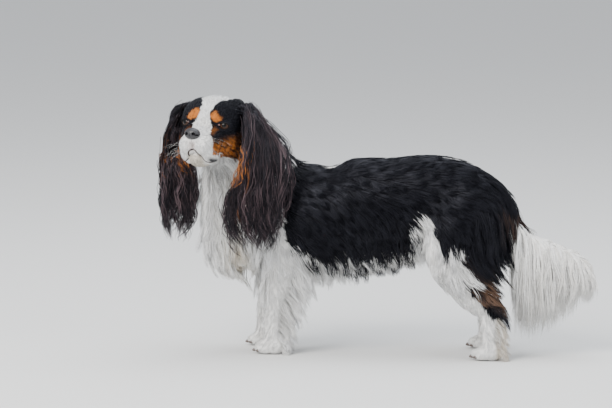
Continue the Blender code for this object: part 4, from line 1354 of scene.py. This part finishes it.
def lay_coat(name, skin, count, rng, weight, sizes, palette, material, spans=3, every=9,
             pull=0.55, colour=body_colour, lie=body_lie, shed=0.6):
    """A coat of hair over part of a skin.

    sizes gives each hair's length, width, lift, droop, sway and how free it hangs. Its colour
    is the marking's a share shed of the way along it, where it shows.
    """
    roots, normals, uv = scatter(skin, hairs(count), rng, weight)
    number = len(roots)
    parts = [np.broadcast_to(part, number) for part in sizes(roots, normals)]
    length, width, lift, droop, sway, free = parts
    mine = clumps(roots, every, rng)
    length = length * rng.uniform(0.75, 1.12, number) * rng.uniform(0.85, 1.15, number)[mine]
    lift = lift * rng.uniform(0.35, 1.5, number)[mine] * rng.uniform(0.7, 1.2, number)
    lines = drape(skin["tree"], roots, normals, lie, length, lift, droop, free, spans)
    lines = gather(lines, mine, pull, rng)
    phase = rng.uniform(0, math.tau, number)[mine] + rng.normal(0, 0.35, number)
    lines = wave(lines, normals, sway, rng.uniform(0.8, 1.5, number)[mine], phase)
    lines[:, :, 2] = np.maximum(lines[:, :, 2], FLOOR_AIR)
    seen = lines[:, 0] + (lines[:, -1] - lines[:, 0]) * shed
    shade = rng.uniform(0.84, 1.16, (number, 1))[mine]
    # Painted shade at each hair's root and painted light at its tip
    paint = shaded_root_and_lit_tip(colour(seen, palette) * shade, rng, 0.12)
    coat = strands(name, lines, normals, width * rng.uniform(0.75, 1.25, number), paint, uv)
    return finish_piece(coat, material)


class SPANIEL_OT_body_coat(bpy.types.Operator):
    """Lay the silky coat of the back, flanks and thighs"""

    bl_idname = "spaniel.body_coat"
    bl_label = "Body coat"

    def execute(self, context):
        rng, palette = coat_start(context, 0)
        length = context.scene.spaniel_coat.back
        skin = surface("body")
        silky = hair_material("silky_hair", 0.34)

        def sizes(p, n):
            low = blend(0.23, 0.17, p[:, 2]) * blend(0.15, 0.11, p[:, 0])
            rump = blend(0.20, 0.25, p[:, 0])
            lift = 0.0030 + 0.002 * low + 0.003 * rump
            return length * (1 + 0.10 * rump), 0.0011, lift, 0.3 * low, 0.0020, 0.7 * low

        for name, side, count in (("left", -1, 12800), ("right", 1, 8600)):
            def flank(p, n, side=side):
                trunk = blend(-0.100, -0.082, p[:, 0]) * blend(0.128, 0.140, p[:, 2])
                return trunk * (p[:, 1] * side > 0) * (p[:, 0] < 0.272)

            lay_coat(f"coat_flank_{name}", skin, count, rng, flank, sizes, palette, silky,
                     every=26, pull=0.66, shed=0.85)
        return {"FINISHED"}


class SPANIEL_OT_chest_coat(bpy.types.Operator):
    """Lay the neck's ruff and the long wavy breast"""

    bl_idname = "spaniel.chest_coat"
    bl_label = "Chest coat"

    def execute(self, context):
        rng, palette = coat_start(context, 1)
        long = context.scene.spaniel_coat.chest
        skin = surface("body")
        silky = hair_material("breast_hair", 0.5)

        def frontness(p, n):
            return blend(0.1, -0.5, n[:, 0]) * blend(-0.115, -0.14, p[:, 0])

        def neck_sizes(p, n):
            size = 0.026 + 0.016 * frontness(p, n)
            return size, 0.0009, 0.0055, 0.15, 0.0022, 0.3

        def neck(p, n):
            return blend(-0.080, -0.098, p[:, 0]) * blend(0.135, 0.150, p[:, 2])

        lay_coat("coat_neck", skin, 7000, rng, neck, neck_sizes, palette, silky,
                 every=12, pull=0.65)

        def breast_sizes(p, n):
            grown = np.interp(p[:, 2], (0.15, 0.19, 0.28, 0.36), (1.4, 1.15, 0.85, 0.5))
            return long * grown, 0.0011, 0.015, 0.5, 0.0046, 0.6

        def breast(p, n):
            return frontness(p, n) * blend(0.125, 0.140, p[:, 2])

        lay_coat("coat_breast", skin, 4000, rng, breast, breast_sizes, palette, silky,
                 spans=6, every=22, pull=0.8)
        return {"FINISHED"}


class SPANIEL_OT_leg_coat(bpy.types.Operator):
    """Lay the short coat of the legs and the feathering behind them"""

    bl_idname = "spaniel.leg_coat"
    bl_label = "Leg coat"

    def execute(self, context):
        rng, palette = coat_start(context, 2)
        skin = surface("body")
        short = hair_material("leg_hair", 0.5)
        self.lay_short(skin, rng, palette, short)
        self.lay_feathering(skin, rng, palette, short, context.scene.spaniel_coat.feather)
        self.lay_breeches(skin, rng, palette, short)
        return {"FINISHED"}

    def lay_short(self, skin, rng, palette, short):
        """Short hair down the legs, shortest on the feet."""

        def leg_sizes(p, n):
            size = np.interp(p[:, 2], (0.01, 0.04, 0.12, 0.17), (0.0075, 0.0105, 0.016, 0.024))
            lift = np.interp(p[:, 2], (0.01, 0.04, 0.12, 0.17), (0.0014, 0.002, 0.003, 0.004))
            return size, 0.0008, lift, 0.05, 0.0005, 0.0

        for name, fore in (("fore", True), ("hind", False)):
            def legs(p, n, fore=fore):
                clear = (p[:, 2] > 0.003) * (p[:, 0] < 0.275) * ((p[:, 0] < 0.0) == fore)
                return blend(0.158, 0.140, p[:, 2]) * clear

            lay_coat(f"coat_legs_{name}", skin, 7500, rng, legs, leg_sizes, palette, short,
                     spans=2, every=7, pull=0.4)

    def lay_feathering(self, skin, rng, palette, short, feather):
        """Long wavy hair behind the forelegs and the hocks."""

        def feather_lie(p, n):
            lie = np.tile((0.80, 0.0, -0.75), (len(p), 1)) + n * 0.9
            lie[:, 1] += 0.25 * ripple(p, 0.02, 31)
            return unit(lie)

        def feather_sizes(p, n):
            fore = np.interp(p[:, 2], (0.02, 0.06, 0.12, 0.17), (0.7, 1.3, 1.4, 1.2))
            hind = np.interp(p[:, 2], (0.02, 0.07, 0.10), (0.7, 0.95, 1.2))
            grown = np.where(p[:, 0] < 0, fore, hind)
            return feather * grown, 0.0010, 0.012, 1.6, 0.0036, 1.0

        def behind(p, n):
            fore = (p[:, 0] < 0.0) * (p[:, 2] < 0.175) * (p[:, 0] > -0.15)
            hind = (p[:, 0] > 0.20) * (p[:, 2] < 0.105) * (p[:, 0] < 0.275)
            back = blend(0.35, 0.75, n[:, 0])
            return back * (fore * leg_side(p) + hind) * (p[:, 2] > 0.012)

        lay_coat("coat_feathering", skin, 2600, rng, behind, feather_sizes, palette, short,
                 spans=5, every=14, pull=0.7, lie=feather_lie, shed=0.2)

    def lay_breeches(self, skin, rng, palette, short):
        """Long dark hair behind the thighs."""

        def breech_lie(p, n):
            back = blend(0.185, 0.155, p[:, 2])[:, None]
            lie = np.array((0.14, 0.0, -0.98)) * (1 - back) + np.array((0.74, 0.0, -0.64)) * back
            lie = lie + n * (0.1 + 0.3 * back)
            lie[:, 1] += 0.12 * ripple(p, 0.02, 33)
            return unit(lie)

        def breech_sizes(p, n):
            heights, lengths = (0.09, 0.12, 0.15, 0.20, 0.25), (0.026, 0.046, 0.060, 0.080, 0.066)
            return np.interp(p[:, 2], heights, lengths), 0.0012, 0.012, 0.35, 0.0034, 0.9

        def breech(p, n):
            back = blend(0.15, 0.6, n[:, 0]) * (p[:, 0] > 0.165) * (p[:, 0] < 0.28)
            return back * blend(0.088, 0.100, p[:, 2]) * blend(0.262, 0.245, p[:, 2])

        lay_coat("coat_breeches", skin, 3700, rng, breech, breech_sizes, palette, short,
                 spans=5, every=18, pull=0.75, lie=breech_lie, shed=0.5,
                 colour=breech_colour)


class SPANIEL_OT_belly_coat(bpy.types.Operator):
    """Lay the fringe under the belly"""

    bl_idname = "spaniel.belly_coat"
    bl_label = "Belly coat"

    def execute(self, context):
        rng, palette = coat_start(context, 3)
        skin = surface("body")
        silky = bpy.data.materials["silky_hair"]

        def sizes(p, n):
            grown = np.interp(p[:, 0], (-0.09, 0.0, 0.11, 0.14), (1.0, 1.0, 0.8, 0.5))
            return 0.036 * grown, 0.0010, 0.004, 1.3, 0.0028, 1.0

        def under(p, n):
            place = blend(-0.095, -0.085, p[:, 0]) * blend(0.150, 0.130, p[:, 0])
            return place * blend(-0.25, -0.6, n[:, 2]) * (p[:, 2] > 0.125)

        lay_coat("coat_belly", skin, 2300, rng, under, sizes, palette, silky, spans=5,
                 every=14, pull=0.75, shed=0.0)
        return {"FINISHED"}


class SPANIEL_OT_head_coat(bpy.types.Operator):
    """Lay the short coat of the head and jaw, and the whiskers"""

    bl_idname = "spaniel.head_coat"
    bl_label = "Head coat"

    def execute(self, context):
        rng, palette = coat_start(context, 4)
        face = context.scene.spaniel_coat.face
        fine = hair_material("face_hair", 0.42)
        eyes = [to_head(np.array([eye_seat(side)]))[0] for side in (1, -1)]
        edge = smooth_rows(LIP_EDGE, 5)

        def grown(p):
            """1 where hair grows, 0 on the lids' edges, the lips' edges and the nose."""
            local = to_head(p)
            clear = np.ones(len(p))
            for side in (1, -1):
                out, across, up = (np.array(v) for v in lid_axes(side))
                d = p - np.array(eye_seat(side))
                inside = (d @ across / 0.0116) ** 2 + ((d @ up + EYE_LOW) / 0.0062) ** 2
                clear *= np.where(d @ out > 0, blend(0.9, 1.2, inside), 1.0)
            nose = np.linalg.norm((local - np.array(NOSE)) / (np.array(NOSE_SIZE) + 0.0012), axis=1)
            beside = np.abs(local[:, None, 1]) - edge[None, :, 0]
            above = local[:, None, 2] - edge[None, :, 1]
            lips = np.sqrt(beside ** 2 + above ** 2).min(1)
            clear *= np.where(local[:, 0] > 0.03, blend(0.0012, 0.0030, lips), 1.0)
            return clear * blend(0.95, 1.05, nose)

        def sizes(p, n):
            local = to_head(p)
            muzzle = blend(0.035, 0.060, local[:, 0])
            back = blend(0.030, -0.020, local[:, 0])
            cheek = blend(-0.02, -0.045, local[:, 2]) * blend(0.050, 0.010, local[:, 0])
            near = np.min([np.linalg.norm(local - eye, axis=1) for eye in eyes], axis=0)
            small = blend(0.022, 0.012, near)
            size = face * (1 - 0.35 * muzzle + 0.9 * back + 1.3 * cheek) * (1 - 0.5 * small)
            lift = 0.0011 + 0.0016 * back + 0.0018 * cheek - 0.0005 * small
            return size, 0.00060 + 0.0003 * back, lift, 0.1 * cheek, 0.0004, 0.0

        def weight(p, n):
            local = to_head(p)
            front = 1 + 0.8 * blend(0.0, 0.03, local[:, 0])
            hidden = 1 - 0.9 * blend(-0.030, -0.045, local[:, 0]) * blend(0.0, -0.02, local[:, 2])
            return grown(p) * front * hidden

        for name, count in (("head", 15000), ("jaw", 2300)):
            lay_coat(f"coat_{name}", surface(name), count, rng, weight, sizes, palette, fine,
                     spans=2, every=6, pull=0.35, colour=head_colour, lie=head_lie, shed=0.5)
        self.grow_whiskers(rng, palette, fine)
        return {"FINISHED"}

    def grow_whiskers(self, rng, palette, fine):
        """Long fine whiskers on the lips."""
        skin = surface("head")

        def lips(p, n):
            local = to_head(p)
            pad = blend(0.050, 0.058, local[:, 0]) * blend(-0.022, -0.028, local[:, 2])
            return pad * blend(0.010, 0.016, np.abs(local[:, 1])) * (local[:, 2] > -0.050)

        count = 26
        roots, normals, uv = scatter(skin, count, rng, lips)
        side = np.sign(to_head(roots)[:, 1])
        away = np.stack((np.full(count, -0.35), side, rng.uniform(-0.5, 0.1, count)), axis=1)
        way = unit(unit(away) @ HEAD + normals * 0.25)
        length = rng.uniform(0.018, 0.040, count)
        t = np.linspace(0, 1, 7)
        run = roots[:, None] + way[:, None] * (length[:, None] * t)[:, :, None]
        run[:, :, 2] -= 0.25 * length[:, None] * t**2
        paint = shaded_root_and_lit_tip(np.tile(palette["white"] * 0.8, (count, 1)), rng, 0.1)
        whiskers = strands("whiskers", run, normals, np.full(count, 0.00017), paint, uv)
        finish_piece(whiskers, fine)


class SPANIEL_OT_ear_coat(bpy.types.Operator):
    """Hang the long wavy locks of both ears"""

    bl_idname = "spaniel.ear_coat"
    bl_label = "Ear coat"

    def execute(self, context):
        glossy = hair_material("ear_hair", 0.32, 0.32)
        trees = [surface(name)["own"] for name in ("body", "head")]
        ears = (("left", EAR_LEFT, 1), ("right", EAR_RIGHT, -1))
        for number, (name, rows, side) in enumerate(ears):
            rng, palette = coat_start(context, 10 + number)
            line = ear_line(rows, side)
            skin = surface(f"ear_{name}")
            for half, count, locks in (("outer", 1500, 230), ("inner", 700, 100)):
                self.hang(name, half, line, skin, hairs(count), locks, rng, palette, glossy, trees)
        return {"FINISHED"}

    def hang(self, name, half, line, skin, count, locks, rng, palette, glossy, trees):
        """One face of one ear: locks that share a wave, each of many hairs.

        begin and end are shares of the ear's length, and across is a share of its half width.
        """
        left, spans = name == "left", 10
        face = -1 if (half == "outer") == left else 1
        edge = -0.97 if left else -0.62
        tier = rng.permutation(locks) / locks
        begin = 0.05 + 0.66 * tier
        end = np.minimum(begin + rng.uniform(0.24, 0.40, locks), rng.uniform(0.88, 1.0, locks))
        across = rng.uniform(-0.88, 0.88, locks)
        back = left * (rng.random(locks) < 0.5) * (across > 0.3)
        back = back * blend(0.15, 0.30, begin) * blend(0.50, 0.40, begin)
        phase, turns = rng.uniform(0, math.tau, locks), rng.uniform(1.6, 2.4, locks)
        sway = rng.uniform(0.0036, 0.0078, locks) * (0.25 + 0.75 * tier)
        depth = rng.uniform(0.3, 1.0, locks)
        # Painted highlight: which locks carry the lighter mauve-brown glint, and how strongly
        light = rng.random(locks) ** 2.2
        shift = rng.normal(0, 0.09, locks)
        mine = rng.integers(0, locks, count)
        stray = np.where(rng.random(count) < 0.12, 1.7, 1.0)
        spread = rng.normal(0, 1, (count, 2)) * np.array((0.0036, 0.0018)) * stray[:, None]
        own_end = np.minimum(end[mine] + rng.normal(0, 0.022, count), 1.0)
        front = blend(-0.4, -0.75, across) if left else 0.8 * blend(-0.95, -0.5, across)
        tan = blend(0.33, 0.37, begin[mine]) * blend(0.50, 0.44, begin[mine]) * front[mine]
        tan *= rng.random(count) < 0.5
        own_end = np.where(tan > 0.3, np.minimum(own_end, begin[mine] + 0.17), own_end)
        lines = []
        for u in np.linspace(0, 1, spans + 1):
            t = begin[mine] + (own_end - begin[mine]) * u
            centre, wide, flat, half_wide, thick = ear_frames(line, t)
            angle = phase[mine] + turns[mine] * u * math.tau
            swing = sway[mine] * np.sin(angle) * (0.3 + 0.7 * u)
            place = np.clip(across[mine] + shift[mine] * u, edge, 0.97)
            place += 0.55 * back[mine] * math.sin(math.pi * u)
            rise = 0.30 + 0.80 * depth[mine] * math.sin(math.pi * min(u * 1.2, 1) / 2)
            out = face * (thick * rise + 0.5 * sway[mine] * np.cos(angle) * u)
            close = 1 - 0.85 * u**1.2
            spot = centre + wide * (half_wide * place + swing + spread[:, 0] * close)[:, None]
            lines.append(spot + flat * (out + spread[:, 1] * close)[:, None])
            if abs(u - 0.5) < 0.01:
                normals = flat * face
        lines = np.stack(lines, axis=1)
        for tree in trees:
            lines = keep_out(lines, tree, 0.0030)
        # Painted highlight: half the hairs of these locks take the lighter mauve-brown glint colour
        shine = light[mine] * (rng.random(count) < 0.5)
        base = mix(palette["ear_dark"], palette["ear_brown_and_highlight"], shine)
        base = mix(base, palette["tan"], 0.8 * tan)
        # Painted shade at each ear hair's root and painted light at its tip
        paint = shaded_root_and_lit_tip(base, rng, 0.22, 0.8, 1.25)
        for k, at in enumerate((begin[mine], own_end)):
            paint[:, k] = mix(palette["black"][None], paint[:, k], blend(0.10, 0.45, at))
        uv = nearest_uv(skin, lines[:, 0])
        width = rng.uniform(0.0008, 0.0013, count)
        coat = strands(f"ear_locks_{name}_{half}", lines, normals, width, paint, uv)
        finish_piece(coat, glossy)


class SPANIEL_OT_tail_coat(bpy.types.Operator):
    """Hang the white plume of the tail"""

    bl_idname = "spaniel.tail_coat"
    bl_label = "Tail plume"

    def execute(self, context):
        rng, palette = coat_start(context, 20)
        silky = hair_material("plume_hair", 0.5)
        skin = surface("body")
        line = smooth_rows(TAIL, 10)
        locks, spans = 150, 7
        edge_x = [row[0] for row in TAIL] + [PLUME_END[0]]
        edge_z = [row[3] for row in TAIL] + [PLUME_END[1]]
        for side, name in ((-1, "left"), (1, "right")):
            count = hairs(2300)
            t = rng.uniform(0.02, 1.0, locks)
            drop = rng.uniform(0.62, 1.05, locks)
            out = rng.uniform(0.006, 0.030, locks)
            sweep = 0.014 + 0.004 * t + rng.normal(0, 0.006, locks)
            phase, turns = rng.uniform(0, math.tau, locks), rng.uniform(0.9, 1.7, locks)
            sway = rng.uniform(0.0030, 0.0085, locks)
            mine = rng.integers(0, locks, count)
            own = np.clip(t[mine] + rng.normal(0, 0.012, count), 0, 1) * (len(line) - 1)
            k = np.minimum(own.astype(int), len(line) - 2)
            row = line[k] + (line[k + 1] - line[k]) * (own - k)[:, None]
            start = (row[:, 0], side * row[:, 2] * 0.5, row[:, 1] + row[:, 2] * 0.4)
            start = np.stack(start, axis=1)
            last = start.copy()
            last[:, 0] += sweep[mine] + rng.normal(0, 0.003, count)
            low = np.interp(last[:, 0], edge_x, edge_z)
            reach = (row[:, 1] - low) * drop[mine] * rng.uniform(0.92, 1.06, count)
            last[:, 1] = side * (out[mine] * 0.6 + 0.003) + rng.normal(0, 0.002, count)
            last[:, 2] = row[:, 1] - reach
            bow = start.copy()
            bow[:, 0] += 0.7 * sweep[mine] + 0.010
            bow[:, 1] += side * out[mine]
            bow[:, 2] += 0.014 * rng.random(locks)[mine] + 0.006 * rng.random(count)
            lines = []
            for step in range(spans + 1):
                u = step / spans
                spot = start * (1 - u) ** 2 + bow * 2 * u * (1 - u) + last * u**2
                swing = sway[mine] * np.sin(phase[mine] + turns[mine] * math.tau * u) * u
                spot[:, 0] += swing
                spot[:, 1] += swing * 0.4
                lines.append(spot)
            lines = np.stack(lines, axis=1)
            normals = np.tile((0.0, float(side), 0.0), (count, 1))
            shade = mix(palette["white"], palette["cream"], 0.12 * rng.random(locks)[mine])
            paint = shaded_root_and_lit_tip(shade, rng, 0.05, 0.95, 1.02)
            width = rng.uniform(0.0013, 0.0019, count)
            uv = nearest_uv(skin, lines[:, 0])
            coat = strands(f"plume_{name}", lines, normals, width, paint, uv)
            finish_piece(coat, silky)
        return {"FINISHED"}


class SPANIEL_OT_claws(bpy.types.Operator):
    """Set the claws on the toes"""

    bl_idname = "spaniel.claws"
    bl_label = "Claws"

    def execute(self, context):
        horn = wet_material("claw_horn", (0.10, 0.075, 0.065), 0.35, 0.2)
        pieces = [
            ball("claw", (toe_x - 0.0100, toe_y, 0.0062), (0.0052, 0.0016, 0.0024), None, 12)
            for x, y in paw_places() for toe_x, toe_y in toes(x, y)
        ]
        finish_piece(merge("claws", pieces), horn)
        return {"FINISHED"}


class SPANIEL_OT_stage(bpy.types.Operator):
    """Set the pale floor, the soft lights and the camera"""

    bl_idname = "spaniel.stage"
    bl_label = "Stage"

    def execute(self, context):
        settings = context.scene.spaniel_stage
        a, e = settings.azimuth, settings.elevation
        right = Vector((math.cos(a), math.sin(a), 0))
        up = Vector((-math.sin(a) * math.sin(e), math.cos(a) * math.sin(e), math.cos(e)))
        back = Vector((math.sin(a) * math.cos(e), -math.cos(a) * math.cos(e), math.sin(e)))
        target = right * VIEW_MIDDLE[0] + up * VIEW_MIDDLE[1] + SHIFT
        lens = bpy.data.cameras.new("camera")
        lens.lens = lens.sensor_width * settings.distance / settings.field
        camera = bpy.data.objects.new("camera", lens)
        camera.location = target + back * settings.distance
        camera.rotation_euler = back.to_track_quat("Z", "Y").to_euler()
        context.scene.collection.objects.link(camera)
        context.scene.camera = camera

        made, shader = new_material("pale_floor")
        shader.inputs["Base Color"].default_value = (*settings.floor, 1)
        shader.inputs["Roughness"].default_value = 0.9
        reach = FLOOR_REACH
        corners = [(-reach, -reach, 0), (reach, -reach, 0), (reach, reach, 0), (-reach, reach, 0)]
        mesh = bpy.data.meshes.new("floor")
        mesh.from_pydata(corners, [], [(0, 1, 2, 3)])
        floor = new_object("floor", mesh)
        mesh.materials.append(made)

        world = bpy.data.worlds.new("studio")
        world.use_nodes = True
        sky = world.node_tree.nodes["Background"]
        sky.inputs["Color"].default_value = (0.88, 0.91, 0.96, 1)
        sky.inputs["Strength"].default_value = 0.95
        context.scene.world = world
        for name, (place, width, power, colour) in LIGHTS.items():
            lamp = bpy.data.lights.new(name, "AREA")
            lamp.size, lamp.energy, lamp.color = width, power, colour
            thing = bpy.data.objects.new(name, lamp)
            thing.location = place
            away = Vector(place) - Vector((0, 0, 0.2))
            thing.rotation_euler = away.to_track_quat("Z", "Y").to_euler()
            context.scene.collection.objects.link(thing)
        return {"FINISHED"}


class SPANIEL_PT_panel(bpy.types.Panel):
    """The spaniel's pieces, sizes and colours"""

    bl_idname = "SPANIEL_PT_panel"
    bl_label = "Spaniel"
    bl_space_type = "VIEW_3D"
    bl_region_type = "UI"
    bl_category = "Spaniel"

    def draw(self, context):
        for group in ("spaniel_coat", "spaniel_colours", "spaniel_stage"):
            settings = getattr(context.scene, group)
            for key in settings.__annotations__:
                self.layout.prop(settings, key)
        for step in STEPS:
            self.layout.operator(step.bl_idname)


STEPS = (
    SPANIEL_OT_skin, SPANIEL_OT_eyes, SPANIEL_OT_lips, SPANIEL_OT_nose, SPANIEL_OT_body_coat,
    SPANIEL_OT_chest_coat, SPANIEL_OT_leg_coat, SPANIEL_OT_belly_coat,
    SPANIEL_OT_head_coat, SPANIEL_OT_ear_coat, SPANIEL_OT_tail_coat, SPANIEL_OT_claws,
    SPANIEL_OT_stage,
)
GROUPS = {
    "spaniel_coat": SpanielCoat,
    "spaniel_colours": SpanielColours,
    "spaniel_stage": SpanielStage,
}


def register():
    for group in (*GROUPS.values(), *STEPS, SPANIEL_PT_panel):
        bpy.utils.register_class(group)
    for name, group in GROUPS.items():
        setattr(bpy.types.Scene, name, PointerProperty(type=group))


def unregister():
    for name in GROUPS:
        delattr(bpy.types.Scene, name)
    for group in (SPANIEL_PT_panel, *reversed(STEPS), *reversed(GROUPS.values())):
        bpy.utils.unregister_class(group)


def main():
    """Build every piece in order."""
    register()
    for step in STEPS:
        group, name = step.bl_idname.split(".")
        getattr(getattr(bpy.ops, group), name)()


if __name__ == "__main__":
    main()
